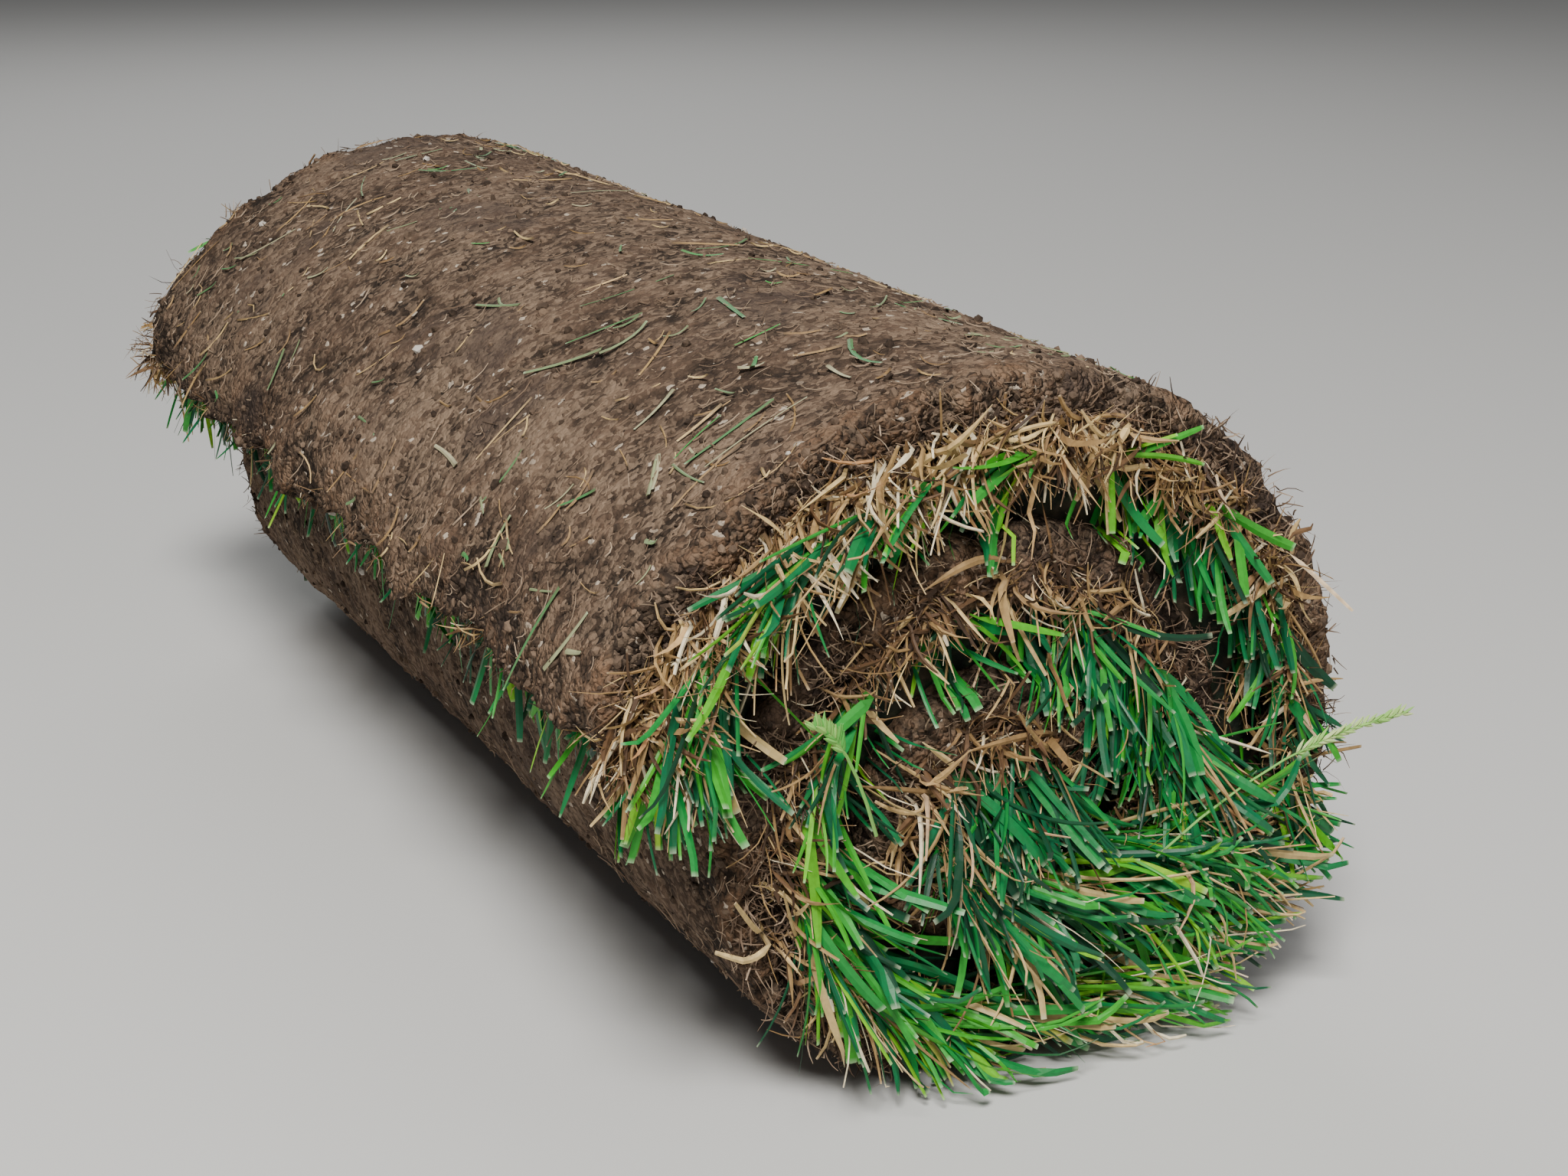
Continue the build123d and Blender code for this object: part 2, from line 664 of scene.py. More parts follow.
BLADE_FINISH = StrandFinish(
    name="grass_blades",
    stops=(
        (0.00, (0.002, 0.040, 0.018)),
        (0.20, (0.003, 0.120, 0.046)),
        (0.45, (0.007, 0.240, 0.042)),
        (0.70, (0.045, 0.370, 0.014)),
        (0.90, (0.230, 0.560, 0.010)),
        (0.97, (0.400, 0.360, 0.075)),
        (1.00, (0.500, 0.360, 0.150)),
    ),
    # Painted shade towards each blade's foot.
    foot=(0.022, 0.045, 0.010),
    foot_share=0.8,
    tip=(0.46, 0.54, 0.36),
    tip_share=0.55,
    roughness=0.45,
    streaks=0.22,
)
CLIPPING_FINISH = replace(
    BLADE_FINISH,
    name="dried_clippings",
    stops=(
        (0.00, (0.020, 0.330, 0.040)),
        (0.14, (0.045, 0.200, 0.060)),
        (0.40, (0.110, 0.210, 0.085)),
        (0.75, (0.260, 0.310, 0.150)),
        (1.00, (0.420, 0.380, 0.230)),
    ),
    foot=(0.120, 0.110, 0.060),
    foot_share=0.5,
)
THATCH_FINISH = StrandFinish(
    name="thatch",
    stops=(
        (0.00, (0.040, 0.021, 0.011)),
        (0.35, (0.150, 0.078, 0.034)),
        (0.65, (0.400, 0.250, 0.098)),
        (0.86, (0.740, 0.540, 0.240)),
        (0.94, (0.480, 0.235, 0.095)),
        (1.00, (0.860, 0.740, 0.500)),
    ),
    # Painted shade towards each stem's foot.
    foot=(0.060, 0.036, 0.022),
    foot_share=0.8,
    tip=(0.62, 0.50, 0.34),
    tip_share=0.4,
    roughness=0.65,
    streaks=0.30,
)
ROOT_FINISH = StrandFinish(
    name="root_hairs",
    stops=(
        (0.00, (0.070, 0.042, 0.027)),
        (0.50, (0.190, 0.125, 0.080)),
        (1.00, (0.420, 0.310, 0.210)),
    ),
    foot=(0.07, 0.045, 0.03),
    foot_share=0.6,
    tip=(0.45, 0.35, 0.25),
    tip_share=0.3,
    roughness=0.85,
    streaks=0.2,
)
SEED_FINISH = StrandFinish(
    name="seed_heads",
    stops=(
        (0.00, (0.050, 0.380, 0.045)),
        (0.50, (0.300, 0.560, 0.120)),
        (1.00, (0.620, 0.700, 0.320)),
    ),
    foot=(0.20, 0.36, 0.10),
    foot_share=0.5,
    tip=(0.75, 0.72, 0.45),
    tip_share=0.6,
    roughness=0.6,
    streaks=0.2,
)


@dataclass(frozen=True, kw_only=True)
class BedFinish(Finish):
    """The matted grass deep between the turns: green and brown darkened to nearly black, as painted
    shade.
    """

    name: str = "sward_bed"
    # Painted shade: this nearly black colour and the dark matted one stand in for the shade between the
    # turns.
    deep: Colour = (0.003, 0.006, 0.003)
    matted: Colour = (0.016, 0.030, 0.010)
    dead: Colour = (0.050, 0.034, 0.018)
    grain: Grain = Grain(150.0, 5.0)
    matted_range: Span = (0.4, 0.7)
    patches: Grain = Grain(60.0, 3.0)
    dead_range: Span = (0.52, 0.66)
    bump: Span = (1.0, 0.003)
    roughness: float = 0.9

    def paint(self, tree: SurfaceTree) -> tuple[Socket, Socket]:
        """Say what the colour and the bump follow.

        Args:
            tree: the material's tree.

        Returns:
            The colour, and the height that the bump follows.
        """
        grain = tree.noise(self.grain)
        colour = tree.blend(tree.ramp(grain, *self.matted_range), self.deep, self.matted)
        dead = tree.ramp(tree.noise(self.patches), *self.dead_range)
        return tree.blend(dead, colour, self.dead), grain


# Shapes


@dataclass
class Winding:
    """The mat's middle line in the end view, wound as the CAD model winds it.

    A place on the mat is given by its distance along the line from the core, its distance
    out from the line, and Y.
    """

    soil: float = 0.028
    gap: float = 0.027
    core_radius: float = 0.017
    core_lead: float = 0.024
    full_turns: int = 2
    sag_flat: float = 0.056
    flap_spring: float = 0.020
    flap_reach: float = 64.0
    sag_share: float = 0.25  # of the flat run, that a bend's radius gains or loses
    step: float = 0.00025
    search_stride: int = 10  # steps of the line from one that is searched to the next
    search_batch: int = 4000  # points that are searched for at a time
    underside_lead: float = 0.04  # how far before the outer flat run the outer face starts
    length: float = field(init=False)
    outer_lap: float = field(init=False)
    underside: float = field(init=False)

    def __post_init__(self) -> None:
        """Trace the line, and set it where the CAD soil mat is."""
        lengths, bends = zip(*self._stretches())
        ends = np.cumsum(lengths)
        self.length = float(ends[-1])
        # The outer lap is the last four bends and a flat run, the second of its stretches
        self.outer_lap = float(ends[-1] - sum(lengths[-1 - QUARTERS :]))
        self.underside = float(ends[-QUARTERS] - self.sag_flat - self.underside_lead)
        self._along = np.arange(0.0, self.length, self.step)
        bend = np.asarray(bends)[np.searchsorted(ends, self._along, side="right")]
        turned = np.concatenate([[0.0], np.cumsum(bend[:-1])]) * self.step
        heading = math.pi / 2 + turned
        self._tangent = np.stack([np.cos(heading), np.sin(heading)], 1)
        self._line = np.cumsum(self._tangent, 0) * self.step
        edge = self._line + self._outward(self._tangent) * (self.soil / 2)
        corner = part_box(Node.SOIL_MAT.value)[1]
        self._line += np.array([corner.x - edge[:, 0].max(), -edge[:, 1].min()])

    @staticmethod
    def _outward(tangent: np.ndarray) -> np.ndarray:
        """The outward normals of the line where it has these tangents."""
        return np.stack([tangent[:, 1], -tangent[:, 0]], 1)

    def _stretches(self) -> list[tuple[float, float]]:
        """List the line's straight and round stretches.

        Returns:
            Each stretch's length and bend, from the core to the free end.
        """
        quarter_growth = (self.soil + self.gap) / QUARTERS
        shift = self.sag_flat * self.sag_share  # upper bends gain it, lower ones lose it
        stretches = [(self.core_lead, 0.0)]
        last = QUARTERS * self.full_turns + 1
        for quarter in range(last + 1):
            radius = self.core_radius + quarter * quarter_growth
            radius += shift if quarter % QUARTERS < QUARTERS // 2 else -shift
            sweep = math.pi / 2
            if quarter % QUARTERS == QUARTERS - 1:
                stretches.append((self.sag_flat, 0.0))
            if quarter == last:
                radius += self.flap_spring
                sweep = math.radians(self.flap_reach)
            stretches.append((radius * sweep, 1 / radius))
        return stretches

    def look_up(self, along: np.ndarray) -> tuple[np.ndarray, np.ndarray, np.ndarray]:
        """The line's points, its headings and its outward normals.

        Args:
            along: distances from the core; past the free end the line runs on straight.

        Returns:
            Three arrays of (x, z) pairs.
        """
        index = np.clip((along / self.step).astype(int), 0, len(self._along) - 1)
        tangent = self._tangent[index]
        past = (along - self._along[index])[:, None]
        return self._line[index] + tangent * past, tangent, self._outward(tangent)

    def place(self, along: np.ndarray, out: np.ndarray, across: np.ndarray | float) -> np.ndarray:
        """Find places on the mat.

        Args:
            along: distances along the mat.
            out: distances out from its middle line.
            across: places in Y, or one for all.

        Returns:
            The points, in x, y and z.
        """
        point, _, normal = self.look_up(np.asarray(along, float))
        spot = point + normal * np.asarray(out)[:, None]
        return np.stack([spot[:, 0], np.broadcast_to(across, len(spot)), spot[:, 1]], 1)

    def nearest(self, points: np.ndarray, start: float = 0.0) -> tuple[np.ndarray, np.ndarray]:
        """The nearest place on the middle line to each point, in the end view.

        Args:
            points: the points, in x, y and z.
            start: the distance along the mat that the search starts from.

        Returns:
            The distances from the line, and how far out each point is on the line's normal.
        """
        keep = self._along >= start
        line = self._line[keep][:: self.search_stride]
        normal = self._outward(self._tangent[keep][:: self.search_stride])
        distance, outward = np.empty(len(points)), np.empty(len(points))
        for first in range(0, len(points), self.search_batch):
            part = slice(first, first + self.search_batch)
            gap = points[part, None][..., (0, 2)] - line[None]
            square = (gap**2).sum(2)
            best = square.argmin(1)
            gap = gap[np.arange(len(best)), best]
            distance[part] = np.sqrt(square.min(1))
            outward[part] = (gap * normal[best]).sum(1)
        return distance, outward

    def beyond(self, points: np.ndarray) -> np.ndarray:
        """How far each point stands out past the outer face of the outer turn."""
        return self.nearest(points, self.underside)[1] - self.soil / 2


class Wander:
    """Smooth seeded waves of one variable, for edges and levels that drift."""

    def __init__(self, seed: int, shortest: float, longest: float, waves: int = 9) -> None:
        """Choose the waves.

        Args:
            seed: the seed of chance.
            shortest: the length of the shortest wave that there may be.
            longest: the length of the longest.
            waves: how many there are.
        """
        draw = np.random.default_rng(seed)
        lengths = np.exp(draw.uniform(math.log(shortest), math.log(longest), waves))
        self.rates = 2 * math.pi / lengths
        self.phases = draw.uniform(0, 2 * math.pi, waves)
        self.weights = np.sqrt(lengths / lengths.max()) / math.sqrt(waves / 2)

    def __call__(self, place: np.ndarray | float) -> np.ndarray:
        """The level at each place, about zero, within one or two."""
        waves = np.sin(np.multiply.outer(place, self.rates) + self.phases)
        return (waves * self.weights).sum(-1)


def unit(vectors: np.ndarray) -> np.ndarray:
    """The vectors at length one."""
    return vectors / np.maximum(np.linalg.norm(vectors, axis=-1, keepdims=True), NO_LENGTH)


def seed_of(name: str) -> int:
    """A seed of chance that belongs to a name."""
    return sum(map(ord, name))


def keep_levels(mesh: bpy.types.Mesh, name: str, values: np.ndarray) -> None:
    """Store a number at each point of a mesh."""
    layer = mesh.attributes.new(name, "FLOAT", "POINT")
    layer.data.foreach_set("value", np.ascontiguousarray(values, np.float32).ravel())


def closed_loft(name: str, rings: list[np.ndarray]) -> bpy.types.Mesh:
    """Make a closed mesh through rings, with every face pointing outwards.

    Args:
        name: the mesh's name.
        rings: the points of each ring, as many in each.

    Returns:
        The mesh, of four-sided faces with triangles across both ends.
    """
    index = np.arange(len(rings) * len(rings[0])).reshape(len(rings), -1)
    right = np.roll(index, -1, 1)
    corners = [index[:-1], index[1:], right[1:], right[:-1]]
    faces = np.stack(corners, -1).reshape(-1, len(corners))
    caps = [index[0].tolist(), index[-1][::-1].tolist()]
    mesh = bpy.data.meshes.new(name)
    mesh.from_pydata(np.concatenate(rings), [], faces.tolist() + caps)
    work = bmesh.new()
    work.from_mesh(mesh)
    caps = [face for face in work.faces if len(face.verts) > len(corners)]
    bmesh.ops.triangulate(work, faces=caps)
    bmesh.ops.recalc_face_normals(work, faces=work.faces)
    work.to_mesh(mesh)
    work.free()
    return mesh


@dataclass
class Strands:
    """Guide lines of many strands: points, their facing and girth, and each strand's tone."""

    points: np.ndarray
    facing: np.ndarray
    girth: np.ndarray
    tone: np.ndarray

    def as_mesh(self, name: str) -> bpy.types.Mesh:
        """Make one mesh of edges, with what the strands carry as attributes.

        Args:
            name: the mesh's name.

        Returns:
            The mesh.
        """
        count, steps = self.girth.shape
        index = np.arange(count * steps).reshape(count, steps)
        edges = np.stack([index[:, :-1].ravel(), index[:, 1:].ravel()], 1)
        mesh = bpy.data.meshes.new(name)
        mesh.from_pydata(self.points.reshape(-1, 3), edges, [])
        keep_levels(mesh, "girth", self.girth)
        keep_levels(mesh, "along", np.broadcast_to(np.linspace(0, 1, steps), (count, steps)))
        keep_levels(mesh, "tone", np.broadcast_to(self.tone[:, None], (count, steps)))
        layer = mesh.attributes.new("facing", "FLOAT_VECTOR", "POINT")
        layer.data.foreach_set("vector", np.ascontiguousarray(self.facing, np.float32).ravel())
        return mesh


@dataclass
class Roll:
    """What the pieces share: the winding, the roll's length, and two of the trees."""

    winding: Winding = field(default_factory=Winding)
    half_length: float = 0.305
    strands: GeometryTree = field(default_factory=strand_tree)
    relief: GeometryTree = field(default_factory=Relief.tree)

    @property
    def half_soil(self) -> float:
        """Half the thickness of the soil."""
        return self.winding.soil / 2

    def finish_piece(
        self, piece: bpy.types.Object, slot: Slot, node: Node | None = None
    ) -> bpy.types.Object:
        """Make a piece ride on the roll, and hide the CAD solid that it stands for.

        Args:
            piece: the piece.
            slot: not used.
            node: the CAD solid that it stands for, if any.

        Returns:
            The piece.
        """
        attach(piece, BODY)
        if node:
            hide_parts(node.value)
        return piece

    def dress_strands(
        self,
        strands: Strands,
        name: str,
        finish: StrandFinish,
        slot: Slot,
        flatness: float,
        sides: int = 3,
    ) -> bpy.types.Object:
        """Give strands their bodies.

        Args:
            strands: their guide lines.
            name: the piece's name.
            finish: what they look like.
            slot: the slot, handed on to finish_piece.
            flatness: a body's thickness as a share of its width.
            sides: how many sides a body has.

        Returns:
            The finished piece.
        """
        inputs = {"Sides": sides, "Flatness": flatness, "Material": finish.make()}
        piece = self.strands.run_on(strands.as_mesh(name), name, inputs)
        return self.finish_piece(piece, slot)


@dataclass
class SoilMat:
    """The rooted soil of the slab, as two meshes: its outer turn, fine all over, and the rest."""

    roll: Roll
    seam: float = 0.545  # along the mat, from the inner turns to the outer one
    overlap: float = 0.01
    rim: float = 0.007
    rim_step: float = math.pi / 8
    fine: float = 0.0031
    end_pitch: float = 0.85  # of the fine pitch, over the cut ends
    hidden_pitch: float = 1.3  # of the fine pitch, inside near the cut ends
    coarse: float = 0.050
    near_end: float = 0.045
    torn_depth: float = 0.030
    torn_power: float = 1.5
    edge_wander: float = 0.0022
    edge_waves: Span = (0.012, 0.09)
    edge_seeds: tuple[int, int] = (5, 6)
    feather: float = 0.012
    feather_share: float = 0.55
    tip_reach: float = 0.006
    tip_pull: float = 0.003
    tip_depth: float = 0.05
    tip_torn: float = 0.02
    tip_waves: Span = (0.010, 0.16)
    tip_seed: int = 21
    relief: Relief = Relief(sag=0.0045, lump=0.0050, crumb=0.0022, pit=0.0030, torn=1.4)

    def build(self) -> list[bpy.types.Object]:
        """Make and dress both meshes.

        Returns:
            The outer turn and the inner ones.
        """
        inputs = self.relief.inputs() | {"Material": SoilFinish().make()}
        pieces = []
        for name, start, stop, is_outer in (
            ("soil_outer_turn", self.seam - self.overlap, self.roll.winding.length, True),
            ("soil_inner_turns", 0.0, self.seam, False),
        ):
            mesh = self._loft(name, start, stop, is_outer)
            piece = self.roll.relief.run_on(mesh, name, inputs)
            pieces.append(self.roll.finish_piece(piece, Slot.SOIL, Node.SOIL_MAT))
        return pieces

    @staticmethod
    def _row(start: float, stop: float, pitch: float) -> list[float]:
        """Even steps of about a pitch, from start up to, but not at, stop."""
        count = max(1, round(abs(stop - start) / pitch))
        return list(np.linspace(start, stop, count, endpoint=False))

    def _across(self, is_fine: bool) -> list[float]:
        """Step across one face, from front to back, without its rims.

        Args:
            is_fine: whether the steps are fine all along, or only near the ends.

        Returns:
            The places in Y.
        """
        edge, inner = self.roll.half_length - self.rim, self.roll.half_length - self.near_end
        if is_fine:
            return self._row(-edge, edge, self.fine)
        pitch = self.fine * self.hidden_pitch
        middle = self._row(-inner, inner, self.coarse)
        return self._row(-edge, -inner, pitch) + middle + self._row(inner, edge, pitch)

    def _section(self, is_outer: bool) -> tuple[np.ndarray, np.ndarray, np.ndarray]:
        """The slab's cross-section as a closed loop.

        Args:
            is_outer: whether the outer face shows, and so is fine all along.

        Returns:
            How far out and where in Y each point is, and how torn the mat is there.
        """
        half, reach, rim = self.roll.half_soil, self.roll.half_length, self.rim
        pitch = self.fine * self.end_pitch
        loop = [(half, y) for y in self._across(is_outer)]
        for turn in self._row(0, math.pi / 2, self.rim_step):
            loop.append((half - rim + rim * math.cos(turn), reach - rim + rim * math.sin(turn)))
        loop += [(level, reach) for level in self._row(half - rim, -half, pitch)]
        loop += [(-half, -y) for y in self._across(False)]
        loop += [(level, -reach) for level in self._row(-half, half - rim, pitch)]
        for turn in self._row(math.pi / 2, 0, self.rim_step):
            loop.append((half - rim + rim * math.cos(turn), -reach + rim - rim * math.sin(turn)))
        out, across = np.array(loop).T
        torn = np.clip(1 - (reach - np.abs(across)) / self.torn_depth, 0, 1) ** self.torn_power
        return out, across, torn

    def _loft(self, name: str, start: float, stop: float, is_outer: bool) -> bpy.types.Mesh:
        """Carry the section along the winding, and close both ends.

        Args:
            name: the mesh's name.
            start: where it starts along the mat.
            stop: where it ends.
            is_outer: whether this is the outer turn.

        Returns:
            The smooth mesh, with how torn and how bare it is at each point.
        """
        winding = self.roll.winding
        out, across, torn = self._section(is_outer)
        front, back = (Wander(seed, *self.edge_waves) for seed in self.edge_seeds)
        ragged = Wander(self.tip_seed, *self.tip_waves)
        rings, tears = [], []
        for place in np.linspace(start, stop, round((stop - start) / self.fine)):
            to_tip = winding.length - place
            thin = 1 - self.feather_share * math.exp(-((to_tip / self.feather) ** 2))
            drift = np.where(across < 0, front(place), back(place))
            y = across + np.sign(across) * torn * self.edge_wander * drift
            pull = math.exp(-to_tip / self.tip_depth)
            shift = (ragged(y) * self.tip_reach - self.tip_pull) * pull
            rings.append(winding.place(place + shift, out * thin, y))
            tears.append(np.maximum(torn, math.exp(-to_tip / self.tip_torn)))
        mesh = closed_loft(name, rings)
        keep_levels(mesh, "torn", np.concatenate(tears))
        keep_levels(mesh, "bare", np.tile(out > -self.roll.half_soil, len(rings)))
        return mesh


@dataclass
class SwardBed:
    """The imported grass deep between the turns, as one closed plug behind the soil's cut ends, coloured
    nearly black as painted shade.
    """

    roll: Roll
    name: str = "sward_bed"
    recess: float = 0.011
    mouth_recess: float = 0.045
    inset: float = 0.004  # inside the middle line of the outer turn
    lap_step: float = 0.004
    mouth_steps: int = 11
    end_rings: int = 30
    side_steps: int = 39
    relief: Relief = Relief(sag=0.0, lump=0.0090, crumb=0.0050, pit=0.0040, torn=0.0)

    def build(self) -> bpy.types.Object:
        """Make and dress the plug.

        Returns:
            The finished piece.
        """
        inputs = self.relief.inputs() | {"Material": BedFinish().make()}
        piece = self.roll.relief.run_on(self._plug(), self.name, inputs)
        return self.roll.finish_piece(piece, Slot.GRASS, Node.SWARD)

    def _plug(self) -> bpy.types.Mesh:
        """Make a prism inside the outer turn's middle line, closed across the flap's mouth.

        Returns:
            The smooth mesh, with rings of points on both ends.
        """
        winding = self.roll.winding
        along = np.arange(winding.outer_lap, winding.length - self.mouth_recess, self.lap_step)
        lap = winding.place(along, np.full(len(along), -self.inset), 0.0)[:, (0, 2)]
        steps = np.linspace(0, 1, self.mouth_steps + 1)[1:-1, None]
        loop = np.concatenate([lap, lap[-1] + (lap[0] - lap[-1]) * steps])
        centre = loop.mean(0)
        reach = self.roll.half_length - self.recess
        shares = [(ring + 1) / self.end_rings for ring in range(self.end_rings)]
        levels = [(-reach, share) for share in shares]
        levels += [(y, 1.0) for y in np.linspace(-reach, reach, self.side_steps + 1)[1:-1]]
        levels += [(reach, share) for share in reversed(shares)]
        rings = []
        for y, share in levels:
            flat = centre + (loop - centre) * share
            rings.append(np.stack([flat[:, 0], np.full(len(loop), y), flat[:, 1]], 1))
        mesh = closed_loft(self.name, rings)
        keep_levels(mesh, "torn", np.zeros(len(mesh.vertices)))
        return mesh


@dataclass(frozen=True)
class Scatter:
    """Crumbs or stones strewn over bare soil: how thick, how big, and what they look like."""

    name: str
    density: float
    torn_density: float
    least: float
    most: float
    seed: int
    finish: LooseFinish

    SHAPES = ((0.6, 0.6, 0.5), (1.4, 1.2, 1.0))
    TURNS = ((0.0, 0.0, 0.0), (6.28, 6.28, 6.28))
    RARITY = 3.0  # the higher, the fewer of them are big
    SHAPE_SEED, TURN_SEED, TONE_SEED = 7, 11, 3

    @classmethod
    def tree(cls) -> GeometryTree:
        """Make the tree that strews them, thicker where the soil is torn.

        Returns:
            The tree; its inputs are the sizes and the seed.
        """
        names = ("Density", "Torn Density", "Least", "Most")
        tree = GeometryTree("crumbs", dict.fromkeys(names, float) | {"Seed": int})
        torn = tree.given("Torn Density") * tree.attribute("torn")
        density = (tree.given("Density") + torn) * tree.attribute("bare")
        ground = {"Mesh": tree.given("Geometry"), "Density": density, "Seed": tree.given("Seed")}
        points = tree.add("GeometryNodeDistributePointsOnFaces", {}, ground)
        share = tree.chance(0.0, 1.0, tree.given("Seed")) ** cls.RARITY
        size = tree.given("Least") + share * (tree.given("Most") - tree.given("Least"))
        crumbs = tree.add(
            "GeometryNodeInstanceOnPoints",
            {},
            {
                "Points": points,
                "Instance": tree.add("GeometryNodeMeshIcoSphere", {}, {"Radius": 1.0, "Subdivisions": 1}),
                "Rotation": tree.chance(*cls.TURNS, cls.TURN_SEED),
                "Scale": tree.scaled(tree.chance(*cls.SHAPES, cls.SHAPE_SEED), size),
            },
        )
        tone = tree.chance(0.0, 1.0, cls.TONE_SEED)
        tree.close(tree.store(crumbs, "tone", tone, "INSTANCE"), False)
        return tree

    def build(
        self, roll: Roll, tree: GeometryTree, ground: bpy.types.Object
    ) -> bpy.types.Object:
        """Strew them over a piece of soil.

        Args:
            roll: the roll.
            tree: the tree that strews them.
            ground: the piece of soil.

        Returns:
            The finished piece.
        """
        inputs = {
            "Density": self.density,
            "Torn Density": self.torn_density,
            "Least": self.least,
            "Most": self.most,
            "Seed": self.seed,
            "Material": self.finish.make(),
        }
        return roll.finish_piece(tree.run_on(ground.data.copy(), self.name, inputs), Slot.SOIL)


CRUMBS = Scatter("soil_crumbs", 6500.0, 30000.0, 0.0005, 0.0026, 4, CRUMB_FINISH)
PEBBLES = Scatter("pebbles", 130.0, 0.0, 0.0008, 0.0042, 9, PEBBLE_FINISH)


@dataclass(frozen=True)
class Lie:
    """How the strands rooted at one place along the mat lie in the end view."""

    along: float
    share: float
    angle: float
    spread: float
    shortest: float
    longest: float
    tone: float


@dataclass(frozen=True)
class Growth:
    """A kind of strand that grows from the mat, and how it is drawn out over the roll's ends.

    Where it has two numbers they are the least and the most, but endwards has the middle and
    the spread of how far a strand leans out of the end view.
    """

    name: str
    count: int
    steps: int
    lies: tuple[Lie, ...]
    follows_mat: bool
    girth: Span
    root_out: Span
    depth: Span
    endwards: Span
    weight: Span
    layer: Span
    curl: float
    tone_spread: float
    taper: tuple[float, ...]
    flatness: float
    finish: StrandFinish
    slot: Slot
    tone_shift: float = 0.0
    slimness: float = 1.5
    least_pointed: float = 0.3
    most_tapers: float = 4.0

    def at(self, along: np.ndarray, name: str) -> np.ndarray:
        """One of the lies' numbers, at distances along the mat."""
        places = [lie.along for lie in self.lies]
        return np.interp(along, places, [getattr(lie, name) for lie in self.lies])

    def girths(self, draw: np.random.Generator) -> np.ndarray:
        """Draw half the width of each strand: most are slim, and some end in a point.

        Args:
            draw: the source of chance.

        Returns:
            Each strand's girth at each step.
        """
        thin, thick = self.girth
        widest = thin + (thick - thin) * draw.uniform(0, 1, self.count) ** self.slimness
        pointed = draw.uniform(self.least_pointed, 1.0, self.count) ** 2 * self.most_tapers
        return widest[:, None] * np.array(self.taper) ** pointed[:, None]

    def thinned(self, share: float) -> "Growth":
        """The same growth with a share of its strands."""
        return replace(self, count=round(self.count * share))


# Angles are in degrees, anticlockwise from the right: -90 hangs straight down
BLADE_LIES = (
    Lie(0.000, 0.4, -120, 20, 0.030, 0.050, 0.35),
    Lie(0.048, 1.0, -102, 24, 0.035, 0.062, 0.25),
    Lie(0.072, 1.6, -92, 24, 0.045, 0.070, 0.24),
    Lie(0.110, 1.2, -75, 24, 0.042, 0.068, 0.26),
    Lie(0.150, 0.7, -55, 20, 0.042, 0.070, 0.35),
    Lie(0.190, 0.9, -32, 18, 0.050, 0.085, 0.45),
    Lie(0.250, 1.1, -20, 16, 0.055, 0.095, 0.50),
    Lie(0.316, 1.3, -62, 24, 0.035, 0.065, 0.34),
    Lie(0.384, 1.2, -88, 24, 0.032, 0.062, 0.26),
    Lie(0.451, 0.2, -100, 34, 0.022, 0.045, 0.40),
    Lie(0.530, 0.3, -105, 34, 0.024, 0.046, 0.40),
    Lie(0.608, 0.6, -62, 16, 0.040, 0.068, 0.45),
    Lie(0.675, 0.9, -36, 16, 0.050, 0.090, 0.50),
    Lie(0.742, 1.0, -12, 15, 0.055, 0.095, 0.66),
    Lie(0.800, 0.8, -6, 16, 0.045, 0.080, 0.60),
    Lie(0.880, 0.7, -8, 22, 0.030, 0.060, 0.42),
    Lie(0.954, 0.4, -85, 28, 0.026, 0.046, 0.28),
    Lie(1.065, 0.3, -76, 24, 0.024, 0.044, 0.30),
    Lie(1.140, 0.4, -110, 45, 0.018, 0.036, 0.78),
    Lie(1.190, 0.4, -155, 20, 0.028, 0.054, 0.45),
    Lie(1.250, 0.5, -145, 16, 0.042, 0.070, 0.35),
    Lie(1.300, 0.9, -116, 15, 0.045, 0.074, 0.35),
    Lie(1.335, 0.5, -92, 14, 0.042, 0.070, 0.42),
    Lie(1.371, 0.1, -85, 15, 0.025, 0.050, 0.60),
)
FLAP_LIES = (
    Lie(1.316, 1.0, -72, 16, 0.034, 0.060, 0.34),
    Lie(1.345, 1.0, -84, 16, 0.028, 0.050, 0.34),
    Lie(1.371, 1.0, -90, 18, 0.016, 0.040, 0.38),
)
# These angles are turned from the mat's own direction towards the grass
THATCH_LIES = (
    Lie(0.000, 0.8, 75, 50, 0.010, 0.028, 0.38),
    Lie(0.450, 0.8, 65, 50, 0.010, 0.028, 0.36),
    Lie(0.800, 0.7, 60, 55, 0.010, 0.030, 0.34),
    Lie(1.000, 1.0, 80, 48, 0.010, 0.028, 0.36),
    Lie(1.180, 1.5, 80, 42, 0.012, 0.034, 0.48),
    Lie(1.300, 2.2, 62, 36, 0.014, 0.040, 0.54),
    Lie(1.345, 2.8, 60, 55, 0.014, 0.042, 0.54),
    Lie(1.371, 5.0, 50, 80, 0.008, 0.026, 0.50),
)
SHEATH_LIES = (
    Lie(0.000, 0.5, 75, 50, 0.008, 0.022, 0.45),
    Lie(0.800, 0.5, 60, 55, 0.010, 0.026, 0.42),
    Lie(1.150, 1.2, 65, 40, 0.012, 0.030, 0.60),
    Lie(1.220, 2.2, 46, 26, 0.018, 0.042, 0.75),
    Lie(1.320, 2.6, 40, 26, 0.018, 0.044, 0.70),
    Lie(1.371, 3.2, 40, 70, 0.012, 0.034, 0.42),
)
CURL_LIES = (
    Lie(1.310, 1.0, 60, 50, 0.022, 0.046, 0.62),
    Lie(1.371, 2.5, 50, 60, 0.020, 0.046, 0.60),
)
EDGE_LIES = (
    Lie(1.300, 1.0, 30, 60, 0.006, 0.014, 0.25),
    Lie(1.371, 1.0, 20, 70, 0.006, 0.016, 0.28),
)
